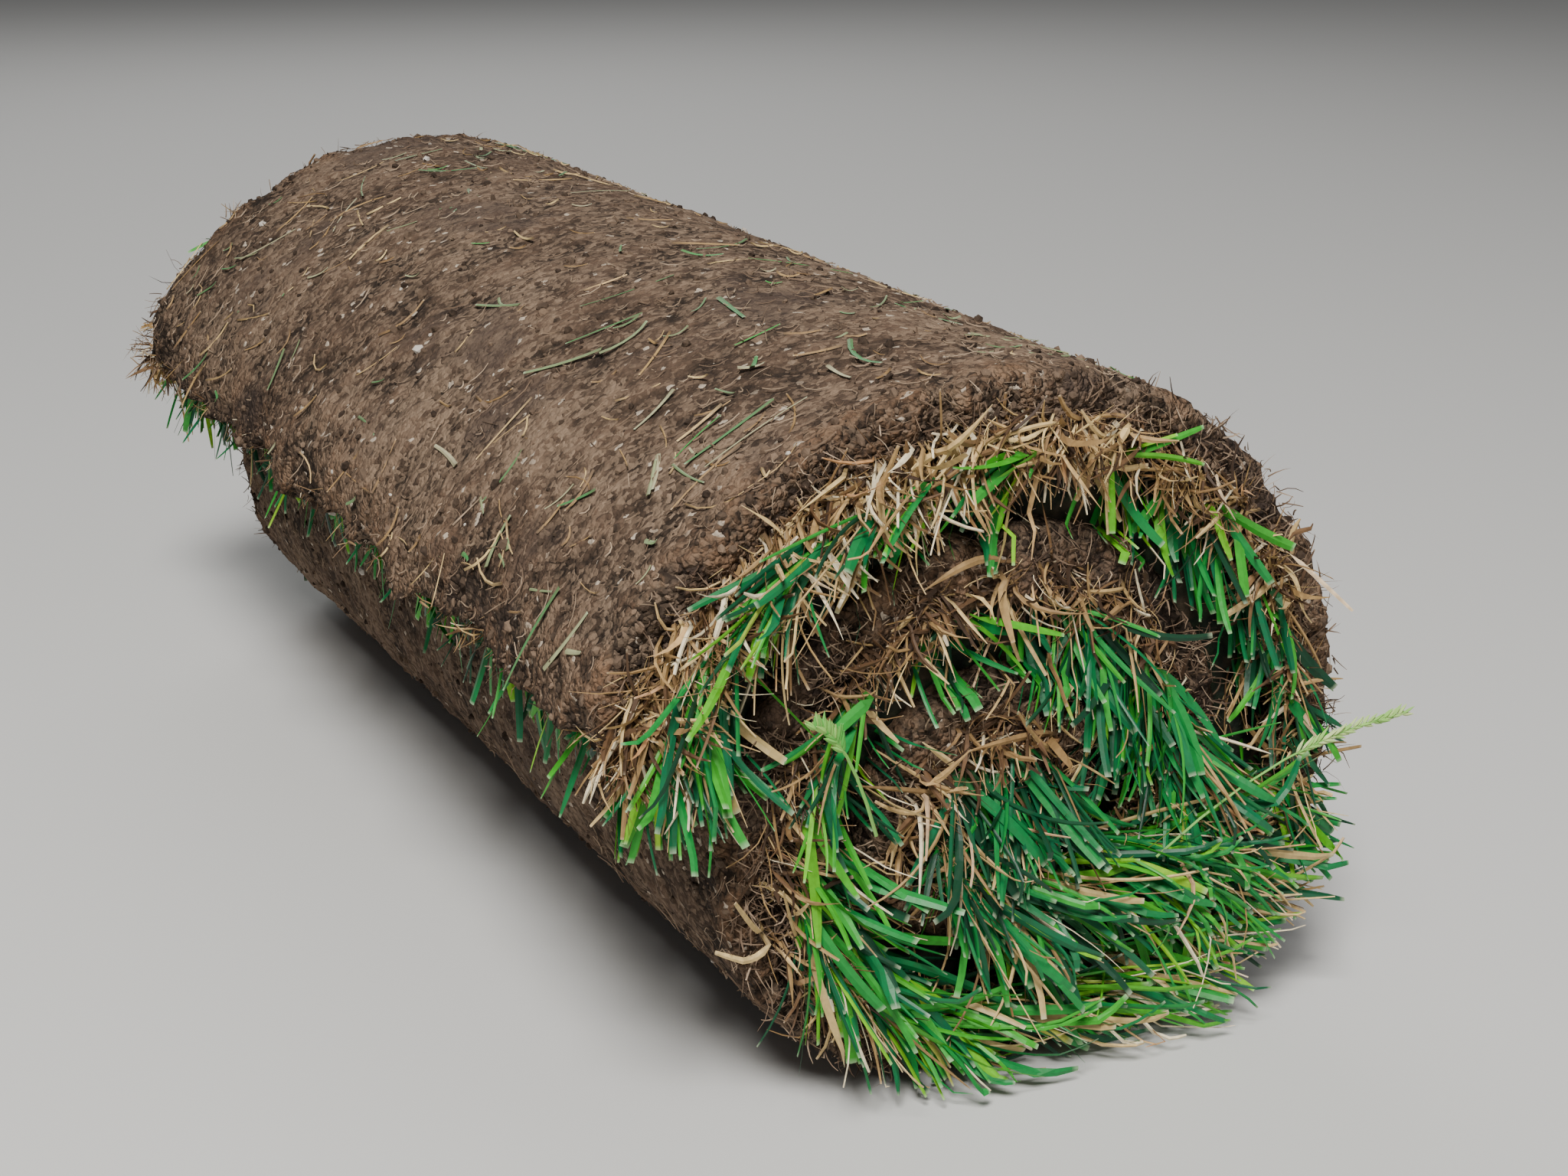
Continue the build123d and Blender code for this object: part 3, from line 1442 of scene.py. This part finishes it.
ROOT_LIES = (
    Lie(0.000, 1.0, 0, 120, 0.004, 0.013, 0.45),
    Lie(1.371, 1.0, 0, 120, 0.004, 0.016, 0.45),
)

BLADES = Growth(
    name="blades",
    count=1950,
    steps=9,
    lies=BLADE_LIES,
    follows_mat=False,
    girth=(0.0006, 0.0027),
    root_out=(-0.018, -0.011),
    depth=(-0.001, 0.024),
    endwards=(0.25, 0.22),
    weight=(0.0, 8.0),
    layer=(0.001, 0.020),
    curl=8.0,
    tone_spread=0.27,
    taper=(0.75, 0.92, 1.0, 1.0, 1.0, 1.0, 0.97, 0.90, 0.74),
    flatness=0.13,
    finish=BLADE_FINISH,
    slot=Slot.GRASS,
)
THATCH = Growth(
    name="thatch",
    count=3600,
    steps=5,
    lies=THATCH_LIES,
    follows_mat=True,
    girth=(0.0002, 0.0013),
    root_out=(-0.013, 0.002),
    depth=(-0.002, 0.008),
    endwards=(0.25, 0.30),
    weight=(0.0, 22.0),
    layer=(0.000, 0.007),
    curl=62.0,
    tone_spread=0.34,
    slimness=2.2,
    taper=(0.9, 1.0, 0.97, 0.82, 0.5),
    flatness=0.6,
    finish=THATCH_FINISH,
    slot=Slot.GRASS,
)
DEAD_STEMS = replace(
    BLADES,
    name="dead_stems",
    count=520,
    girth=(0.0003, 0.0010),
    layer=(0.006, 0.024),
    curl=10.0,
    tone_shift=0.38,
    tone_spread=0.20,
    flatness=0.5,
    finish=THATCH_FINISH,
)
SHEATHS = replace(
    THATCH,
    name="dead_sheaths",
    count=420,
    steps=7,
    lies=SHEATH_LIES,
    girth=(0.0008, 0.0018),
    layer=(0.003, 0.014),
    curl=35.0,
    tone_shift=0.05,
    taper=(0.6, 0.9, 1.0, 1.0, 0.9, 0.7, 0.4),
    flatness=0.25,
)
CURLED_SHEATHS = replace(
    SHEATHS,
    name="curled_sheaths",
    count=130,
    steps=9,
    lies=CURL_LIES,
    curl=150.0,
    taper=(0.6, 0.8, 1.0, 1.0, 1.0, 0.95, 0.85, 0.7, 0.5),
    tone_spread=0.16,
    slimness=1.2,
)
END_ROOTS = Growth(
    name="end_roots",
    count=2600,
    steps=4,
    lies=ROOT_LIES,
    follows_mat=True,
    girth=(0.00015, 0.00045),
    root_out=(-0.010, 0.0145),
    depth=(-0.001, 0.004),
    endwards=(0.4, 0.5),
    weight=(0.0, 20.0),
    layer=(0.001, 0.005),
    curl=90.0,
    tone_spread=0.3,
    taper=(1.0, 0.95, 0.8, 0.5),
    flatness=1.0,
    finish=ROOT_FINISH,
    slot=Slot.SOIL,
)
FLAP_BLADES = replace(BLADES, name="flap_blades", count=900, lies=FLAP_LIES)
FLAP_THATCH = replace(
    THATCH, name="edge_thatch", count=1500, lies=EDGE_LIES, girth=(0.0002, 0.0007)
)
BACK_SHARE = 0.78  # how many strands the back end has for each one at the front


@dataclass
class Planting:
    """Strands of one growth, each walked from its root; subclasses say where they grow."""

    roll: Roll
    growth: Growth
    tuft_size: float = 0.0035
    tuft_strands: int = 6
    facing_spread: float = 0.5

    @property
    def title(self) -> str:
        """The piece's name."""
        raise NotImplementedError

    @property
    def seed(self) -> int:
        """The seed of chance."""
        raise NotImplementedError

    @property
    def facing(self) -> Place:
        """Which way a strand's flat side looks, more or less."""
        raise NotImplementedError

    def root(self, draw: np.random.Generator) -> tuple[np.ndarray, np.ndarray, np.ndarray]:
        """The strands' distances along the mat, their roots and their first headings."""
        raise NotImplementedError

    def layers(self, draw: np.random.Generator) -> np.ndarray:
        """How far out each strand lies: nowhere, unless a subclass says so."""
        return np.zeros(self.growth.count)

    def hold(self, point: np.ndarray, layer: np.ndarray) -> np.ndarray:
        """The strands' next points, kept where they may be."""
        return point

    def sideways(self, point: np.ndarray, layer: np.ndarray) -> np.ndarray:
        """How hard each strand is pulled along Y: not at all, unless a subclass says so."""
        return np.zeros(len(point))

    def trim(self, points: np.ndarray, draw: np.random.Generator) -> np.ndarray:
        """The finished lines, shortened where they have to be."""
        return points

    def build(self) -> bpy.types.Object:
        """Grow the strands, and give them bodies.

        Returns:
            The finished piece.
        """
        kind = self.growth
        strands = self._grow()
        return self.roll.dress_strands(strands, self.title, kind.finish, kind.slot, kind.flatness)

    def _grow(self) -> Strands:
        """Walk every strand from its root, bent by its curl, its weight and what pulls it.

        Returns:
            The strands.
        """
        kind = self.growth
        draw = np.random.default_rng(self.seed)
        along, point, heading = self.root(draw)
        shortest, longest = kind.at(along, "shortest"), kind.at(along, "longest")
        length = shortest + (longest - shortest) * draw.uniform(0, 1, kind.count)
        pace = (length / (kind.steps - 1))[:, None]
        weight = draw.uniform(*kind.weight, kind.count)
        layer = self.layers(draw)
        bend = draw.normal(0, kind.curl, (kind.count, 3))
        bend[:, 2] -= weight
        path = [point]
        for _ in range(kind.steps - 1):
            point = self.hold(point + heading * pace, layer)
            path.append(point)
            pull = bend.copy()
            pull[:, 1] += self.sideways(point, layer)
            heading = unit(heading + pull * pace)
        points = self.trim(np.stack(path, 1), draw)
        run = unit(np.gradient(points, axis=1))
        lean = np.array(self.facing) + draw.normal(0, self.facing_spread, (kind.count, 3))
        facing = np.broadcast_to(lean[:, None], points.shape)
        facing = unit(facing - run * (facing * run).sum(-1, keepdims=True))
        girth = kind.girths(draw)
        tone = kind.at(along, "tone") + draw.normal(kind.tone_shift, kind.tone_spread, kind.count)
        return Strands(points, facing, girth, np.clip(tone, 0, 1))

    def first_heading(
        self, along: np.ndarray, lean: np.ndarray, draw: np.random.Generator
    ) -> np.ndarray:
        """Which way each strand sets off: its lie in the end view, and some of it endwards.

        Args:
            along: the strands' distances along the mat.
            lean: how far each turns from the lie, against the lie's spread.
            draw: the source of chance.

        Returns:
            Unit vectors, that lead to the back end.
        """
        kind = self.growth
        angle = kind.at(along, "angle") + lean * kind.at(along, "spread")
        turn = np.radians(angle)[:, None]
        if kind.follows_mat:
            _, tangent, outward = self.roll.winding.look_up(along)
            flat = tangent * np.cos(turn) - outward * np.sin(turn)
        else:
            flat = np.concatenate([np.cos(turn), np.sin(turn)], 1)
        out = np.abs(draw.normal(*kind.endwards, len(along)))
        return unit(np.stack([flat[:, 0], out, flat[:, 1]], 1))


@dataclass
class EndGrowth(Planting):
    """Strands rooted near a cut end of the mat, that spill out over that end."""

    end: End = End.FRONT
    floor: float = 0.003
    floor_layer: float = 0.3  # how much of its layer a strand keeps above the floor
    reach: float = 0.336
    overhang: float = 0.005
    cover: float = 0.0005  # how far a strand stays off the soil
    cover_layer: float = 0.5  # how much of its layer it keeps there
    tuft_lean: float = 0.75
    own_lean: float = 0.6
    spring: float = 420.0
    root_places: int = 2000

    @property
    def title(self) -> str:
        """The piece's name."""
        return f"{self.growth.name}_{self.end.name.lower()}"

    @property
    def seed(self) -> int:
        """The seed of chance."""
        return seed_of(self.growth.name) * 2 + (self.end is End.BACK)

    @property
    def facing(self) -> Place:
        """Which way a strand's flat side looks, more or less."""
        return (0.0, self.end.value, 0.0)

    def root(self, draw: np.random.Generator) -> tuple[np.ndarray, np.ndarray, np.ndarray]:
        """Root the strands in tufts, as thick as the lies say.

        Args:
            draw: the source of chance.

        Returns:
            The strands' distances along the mat, their roots and their first headings.
        """
        kind, length = self.growth, self.roll.winding.length
        places = np.linspace(0.0, length, self.root_places)
        filled = np.cumsum(kind.at(places, "share"))
        tufts = kind.count // self.tuft_strands
        centre = np.interp(draw.uniform(0, filled[-1], tufts), filled, places)
        tuft = draw.integers(0, tufts, kind.count)
        along = np.clip(centre[tuft] + draw.normal(0, self.tuft_size, kind.count), 0, length)
        depth = draw.uniform(*kind.depth, tufts)[tuft] + draw.normal(0, self.tuft_size, kind.count)
        lean = draw.normal(0, 1, tufts)[tuft] * self.tuft_lean
        lean += draw.normal(0, 1, kind.count) * self.own_lean
        across = self.end.value * (self.roll.half_length - np.clip(depth, *kind.depth))
        out = draw.uniform(*kind.root_out, kind.count)
        point = self.roll.winding.place(along, out, across)
        heading = self.first_heading(along, lean, draw)
        heading[:, 1] *= self.end.value
        return along, point, heading

    def layers(self, draw: np.random.Generator) -> np.ndarray:
        """How far past the cut end each strand lies."""
        return draw.uniform(*self.growth.layer, self.growth.count)

    def hold(self, point: np.ndarray, layer: np.ndarray) -> np.ndarray:
        """Push what runs into the soil out past the cut end, and hold it off the floor.

        Args:
            point: the strands' next points.
            layer: how far past the cut end each strand lies.

        Returns:
            The points, moved.
        """
        side = self.end.value
        inside = self.roll.winding.nearest(point)[0] < self.roll.half_soil
        face = self.roll.half_length + layer * self.cover_layer
        buried = inside & (side * point[:, 1] < face)
        point[buried, 1] = side * (face[buried] + self.cover)
        point[:, 2] = np.maximum(point[:, 2], self.floor + self.floor_layer * layer)
        point[:, 1] = np.clip(point[:, 1], -self.reach, self.reach)
        return point

    def sideways(self, point: np.ndarray, layer: np.ndarray) -> np.ndarray:
        """How hard each strand is pulled along Y, to where it lies past the cut end."""
        target = self.end.value * (self.roll.half_length + layer)
        return (target - point[:, 1]) * self.spring

    def trim(self, points: np.ndarray, draw: np.random.Generator) -> np.ndarray:
        """Shorten every strand that would stand out past the roll's outer face.

        Args:
            points: each strand's points.
            draw: the source of chance.

        Returns:
            As many points, drawn together along the part that stays.
        """
        count, steps, _ = points.shape
        past = self.roll.winding.beyond(points.reshape(-1, 3)).reshape(count, steps)
        over = past > draw.uniform(-3 * self.overhang, self.overhang, (count, 1))
        over[:, :2] = False
        first = np.where(over.any(1), over.argmax(1), steps - 1)
        place = first[:, None] * np.linspace(0, 1, steps)
        low = np.minimum(place.astype(int), steps - 2)
        part = (place - low)[..., None]
        strand = np.arange(count)[:, None]
        return points[strand, low] * (1 - part) + points[strand, low + 1] * part


@dataclass
class FlapGrowth(Planting):
    """Strands rooted along the free end of the mat, that hang below it for the whole length."""

    tuft_strands: int = 4
    margin: float = 0.022  # how far back from the free end they are rooted
    least_back: float = 0.1  # the least of it, as a share
    edge_gap: float = 0.002
    furthest_left: float = -0.176
    seed_shift: int = 77
    endward_spread: float = 0.35
    facing_tilt: float = 0.2

    @property
    def title(self) -> str:
        """The piece's name."""
        return f"{self.growth.name}_of_free_end"

    @property
    def seed(self) -> int:
        """The seed of chance."""
        return seed_of(self.growth.name) + self.seed_shift

    @property
    def facing(self) -> Place:
        """Which way a strand's flat side looks, more or less."""
        return (-1.0, 0.0, self.facing_tilt)

    def root(self, draw: np.random.Generator) -> tuple[np.ndarray, np.ndarray, np.ndarray]:
        """Root the strands in tufts all along the free end.

        Args:
            draw: the source of chance.

        Returns:
            The strands' distances along the mat, their roots and their first headings.
        """
        kind, winding = self.growth, self.roll.winding
        along = winding.length - self.margin * draw.uniform(self.least_back, 1, kind.count)
        edge = self.roll.half_length - self.edge_gap
        tufts = kind.count // self.tuft_strands
        across = draw.uniform(-edge, edge, tufts)[draw.integers(0, tufts, kind.count)]
        across = np.clip(across + draw.normal(0, self.tuft_size, kind.count), -edge, edge)
        point = winding.place(along, draw.uniform(*kind.root_out, kind.count), across)
        heading = self.first_heading(along, draw.normal(0, 1, kind.count), draw)
        heading[:, 1] = draw.normal(0, self.endward_spread, kind.count)
        return along, point, unit(heading)

    def hold(self, point: np.ndarray, layer: np.ndarray) -> np.ndarray:
        """The strands' next points, kept from standing out to the left."""
        point[:, 0] = np.maximum(point[:, 0], self.furthest_left)
        return point


@dataclass
class SeedHead:
    """A flowering stem: an arched stalk, with spikelets to both sides of its upper part."""

    roll: Roll
    name: str
    foot: Place
    tip: Place
    rise: float = 0.010
    pairs: int = 22
    pair_span: Span = (0.55, 0.99)  # where the pairs are, as shares of the stalk
    spikelet: float = 0.0075
    spikelet_lengths: Span = (0.7, 1.1)
    size: float = 1.25  # of a spikelet at the stalk's foot, and how much less at its tip
    size_loss: float = 0.5
    spread: float = 0.75  # from the stalk, and how much less at its tip
    spread_loss: float = 0.4
    spikelet_girths: Span = (0.0007, 0.0011)
    swell: tuple[float, ...] = (0.3, 0.85, 1.0, 0.95, 0.75, 0.45, 0.12)
    jitter: float = 0.12
    tones: Span = (0.4, 1.0)
    stalk_girths: Span = (0.0007, 0.0004)
    stalk_tone: float = 0.3
    flatness: float = 0.7
    sides: int = 4
    seed_shift: int = 3

    def build(self) -> bpy.types.Object:
        """Make the stalk and its spikelets as one piece.

        Returns:
            The finished piece.
        """
        return self.roll.dress_strands(
            self._guides(), self.name, SEED_FINISH, Slot.GRASS, self.flatness, self.sides
        )

    def _stalk(self, share: np.ndarray) -> np.ndarray:
        """Points along the arched stalk.

        Args:
            share: how far along it each point is, from 0 to 1.

        Returns:
            The points.
        """
        foot, tip = np.array(self.foot), np.array(self.tip)
        line = foot + (tip - foot) * share[:, None]
        line[:, 2] += 4 * share * (1 - share) * self.rise  # the arch is highest halfway
        return line

    def _guides(self) -> Strands:
        """Lay out the stalk, then the spikelets, each leaning towards the tip.

        Returns:
            The guide lines.
        """
        shares = np.linspace(0, 1, len(self.swell))
        draw = np.random.default_rng(len(self.name) + self.seed_shift)
        stalk = self._stalk(shares)
        run = unit(stalk[-1] - stalk[0])
        side = unit(np.cross(run, (0.0, 1.0, 0.0)))
        rows, girths = [stalk], [np.linspace(*self.stalk_girths, len(shares))]
        for share in np.linspace(*self.pair_span, self.pairs):
            start = self._stalk(np.array([share]))[0]
            size = self.spikelet * (self.size - self.size_loss * share)
            spread = self.spread - self.spread_loss * share
            for hand in (-1, 1):
                lean = hand * spread + draw.normal(0, self.jitter)
                way = unit(run + side * lean + draw.normal(0, self.jitter, 3))
                length = size * draw.uniform(*self.spikelet_lengths)
                rows.append(start + way * length * shares[:, None])
                girths.append(np.array(self.swell) * draw.uniform(*self.spikelet_girths))
        points = np.stack(rows)
        facing = np.broadcast_to((0.0, -1.0, 0.0), points.shape)
        tone = np.concatenate([[self.stalk_tone], draw.uniform(*self.tones, len(rows) - 1)])
        return Strands(points, facing, np.stack(girths), tone)


@dataclass(frozen=True)
class Litter:
    """Strands that lie on the soil's outer face: how many, how big, and where."""

    name: str
    count: int
    steps: int
    span: Span
    reach: float
    length: Span
    girth: Span
    lift: float
    bend: float
    flatness: float
    tones: Span
    finish: StrandFinish
    slot: Slot


HAIRS = Litter(
    name="hair_roots",
    count=2600,
    steps=4,
    span=(0.56, 1.371),
    reach=0.303,
    length=(0.004, 0.016),
    girth=(0.00012, 0.00040),
    lift=0.0016,
    bend=1.2,
    flatness=1.0,
    tones=(0.2, 1.0),
    finish=ROOT_FINISH,
    slot=Slot.SOIL,
)
STRAW = Litter(
    name="straw",
    count=260,
    steps=5,
    span=(0.95, 1.371),
    reach=0.300,
    length=(0.008, 0.036),
    girth=(0.0003, 0.0009),
    lift=0.0014,
    bend=0.6,
    flatness=0.6,
    tones=(0.45, 0.9),
    finish=THATCH_FINISH,
    slot=Slot.GRASS,
)
CLIPPINGS = Litter(
    name="clippings",
    count=150,
    steps=6,
    span=(1.02, 1.36),
    reach=0.290,
    length=(0.006, 0.042),
    girth=(0.0005, 0.0015),
    lift=0.0014,
    bend=0.5,
    flatness=0.2,
    tones=(0.0, 1.0),
    finish=CLIPPING_FINISH,
    slot=Slot.GRASS,
)


@dataclass
class LitterPiece:
    """Litter strewn over the outer face, each strand following the face with its ends lifted."""

    roll: Roll
    litter: Litter
    end_pull: float = 0.7  # under 1, more of it lies near the ends
    rarity: float = 2.0  # the higher, the fewer strands are long
    least_rise: float = 0.2
    stand: float = 0.3  # how far its middle is above the face, as a share of its girth
    tip: float = 0.6  # its girth at the far end, as a share

    def build(self) -> bpy.types.Object:
        """Lay the strands, and give them bodies.

        Returns:
            The finished piece.
        """
        kind = self.litter
        strands = self._lay()
        return self.roll.dress_strands(strands, kind.name, kind.finish, kind.slot, kind.flatness)

    def _lay(self) -> Strands:
        """Lay every strand along the face, in the mat's own two directions.

        Returns:
            The strands.
        """
        kind, winding = self.litter, self.roll.winding
        draw = np.random.default_rng(seed_of(kind.name))
        count, last = kind.count, kind.steps - 1
        shortest, longest = kind.length
        across = draw.uniform(0, 1, count) ** self.end_pull * kind.reach
        across = across * draw.choice((-1.0, 1.0), count)
        along = draw.uniform(*kind.span, count)
        turn = draw.uniform(0, 2 * math.pi, count)
        length = draw.uniform(0, 1, count) ** self.rarity * (longest - shortest) + shortest
        bend = draw.normal(0, kind.bend, count)
        rise = draw.uniform(self.least_rise, 1.0, count) * kind.lift
        girth = draw.uniform(*kind.girth, count)
        rows, facings = [], []
        for step in range(kind.steps):
            lifted = rise * (2 * step / last - 1) ** 2
            height = self.roll.half_soil + girth * self.stand + lifted
            rows.append(winding.place(along, height, across))
            _, _, outward = winding.look_up(along)
            facings.append(np.stack([outward[:, 0], np.zeros(count), outward[:, 1]], 1))
            pace = length / last
            along = np.clip(along + np.cos(turn) * pace, 0.0, winding.length)
            across = np.clip(across + np.sin(turn) * pace, -kind.reach, kind.reach)
            turn = turn + bend / last
        girths = girth[:, None] * np.linspace(1.0, self.tip, kind.steps)
        tone = draw.uniform(*kind.tones, count)
        return Strands(np.stack(rows, 1), np.stack(facings, 1), girths, tone)


@dataclass(frozen=True)
class Lamp:
    """A square soft light: where it stands, how wide and strong it is, and its colour."""

    name: str
    place: Place
    width: float
    power: float
    colour: Colour


LAMPS = (
    Lamp("key", (-0.9, -1.5, 2.3), 0.8, 128.0, (1.0, 0.985, 0.955)),
    Lamp("fill", (2.2, -1.6, 1.3), 1.8, 8.0, (0.95, 0.98, 1.0)),
    Lamp("back", (0.6, 2.4, 2.0), 2.0, 26.0, (1.0, 1.0, 1.0)),
)


@dataclass
class Surroundings:
    """The plain floor, the studio lights and the camera."""

    lamps: tuple[Lamp, ...] = LAMPS
    lamp_aim: Place = (0.0, 0.0, 0.1)
    sky_colour: Colour = (0.95, 0.97, 1.0)
    sky_strength: float = 0.11
    floor_colour: Colour = (0.58, 0.575, 0.56)
    floor_roughness: float = 0.8
    floor_width: float = 40.0
    camera_place: Place = (-0.444, -0.996, 0.476)
    camera_heading: float = 27.6
    camera_dip: float = 19.2
    lens: float = 56.0
    nearest_seen: float = 0.02

    def build(self) -> None:
        """Make them all."""
        self._floor()
        for lamp in self.lamps:
            self._light(lamp)
        self._sky()
        self._camera()

    def _floor(self) -> None:
        """A wide flat pale sheet."""
        mesh = bpy.data.meshes.new("floor")
        half = self.floor_width / 2
        corners = [(-half, -half, 0.0), (half, -half, 0.0), (half, half, 0.0), (-half, half, 0.0)]
        mesh.from_pydata(corners, [], [(0, 1, 2, 3)])
        floor = bpy.data.objects.new("floor", mesh)
        bpy.context.scene.collection.objects.link(floor)
        material = bpy.data.materials.new("floor")
        material.use_nodes = True
        shader = material.node_tree.nodes["Principled BSDF"].inputs
        shader["Base Color"].default_value = (*self.floor_colour, 1.0)
        shader["Roughness"].default_value = self.floor_roughness
        mesh.materials.append(material)

    def _light(self, lamp: Lamp) -> None:
        """Set up a light that looks at the roll.

        Args:
            lamp: what the light is like.
        """
        data = bpy.data.lights.new(lamp.name, "AREA")
        data.size = lamp.width
        data.energy = lamp.power
        data.color = lamp.colour
        holder = bpy.data.objects.new(lamp.name, data)
        self._aim(holder, lamp.place, Vector(self.lamp_aim) - Vector(lamp.place))

    def _sky(self) -> None:
        """Light everything a little from all sides."""
        world = bpy.data.worlds.new("studio")
        bpy.context.scene.world = world
        world.use_nodes = True
        sky = world.node_tree.nodes["Background"].inputs
        sky["Color"].default_value = (*self.sky_colour, 1.0)
        sky["Strength"].default_value = self.sky_strength

    def _camera(self) -> None:
        """Set up the camera at the photograph's place and angle."""
        data = bpy.data.cameras.new("camera")
        data.lens = self.lens
        data.clip_start = self.nearest_seen
        camera = bpy.data.objects.new("camera", data)
        heading, dip = math.radians(self.camera_heading), math.radians(self.camera_dip)
        ahead, right = math.cos(heading) * math.cos(dip), math.sin(heading) * math.cos(dip)
        self._aim(camera, self.camera_place, Vector((right, ahead, -math.sin(dip))))
        bpy.context.scene.camera = camera

    @staticmethod
    def _aim(holder: bpy.types.Object, place: Place, way: Vector) -> None:
        """Put a light or the camera in its place, looking one way.

        Args:
            holder: its object.
            place: where it stands.
            way: which way it looks.
        """
        holder.location = place
        holder.rotation_euler = way.to_track_quat("-Z", "Y").to_euler()
        bpy.context.scene.collection.objects.link(holder)


def main() -> None:
    """Build the roll's pieces and its surroundings, and report each piece's triangles."""
    logging.basicConfig(level=logging.INFO, format="%(message)s")
    roll = Roll()
    pieces = SoilMat(roll).build()
    pieces.append(SwardBed(roll).build())
    scatter_tree = Scatter.tree()
    for scatter in (CRUMBS, PEBBLES):
        pieces.append(scatter.build(roll, scatter_tree, pieces[0]))
    for growth in (BLADES, THATCH, SHEATHS, END_ROOTS, DEAD_STEMS):
        pieces.append(EndGrowth(roll, growth).build())
        pieces.append(EndGrowth(roll, growth.thinned(BACK_SHARE), end=End.BACK).build())
    pieces.append(EndGrowth(roll, CURLED_SHEATHS).build())
    pieces.append(FlapGrowth(roll, FLAP_BLADES, margin=0.055).build())
    pieces.append(FlapGrowth(roll, FLAP_THATCH).build())
    for head in (
        SeedHead(
            roll,
            name="seed_head_right",
            foot=(0.062, -0.328, 0.082),
            tip=(0.172, -0.334, 0.121),
        ),
        SeedHead(
            roll,
            name="seed_head_left",
            foot=(-0.058, -0.327, 0.116),
            tip=(-0.086, -0.334, 0.164),
            spikelet=0.0085,
            tones=(0.0, 0.5),
        ),
    ):
        pieces.append(head.build())
    pieces += [LitterPiece(roll, litter).build() for litter in (HAIRS, STRAW, CLIPPINGS)]
    for piece in pieces:
        triangles = sum(len(face.vertices) - 2 for face in piece.data.polygons)
        LOG.info("%s: %d triangles", piece.name, triangles)
    Surroundings().build()


if __name__ == "__main__":
    main()
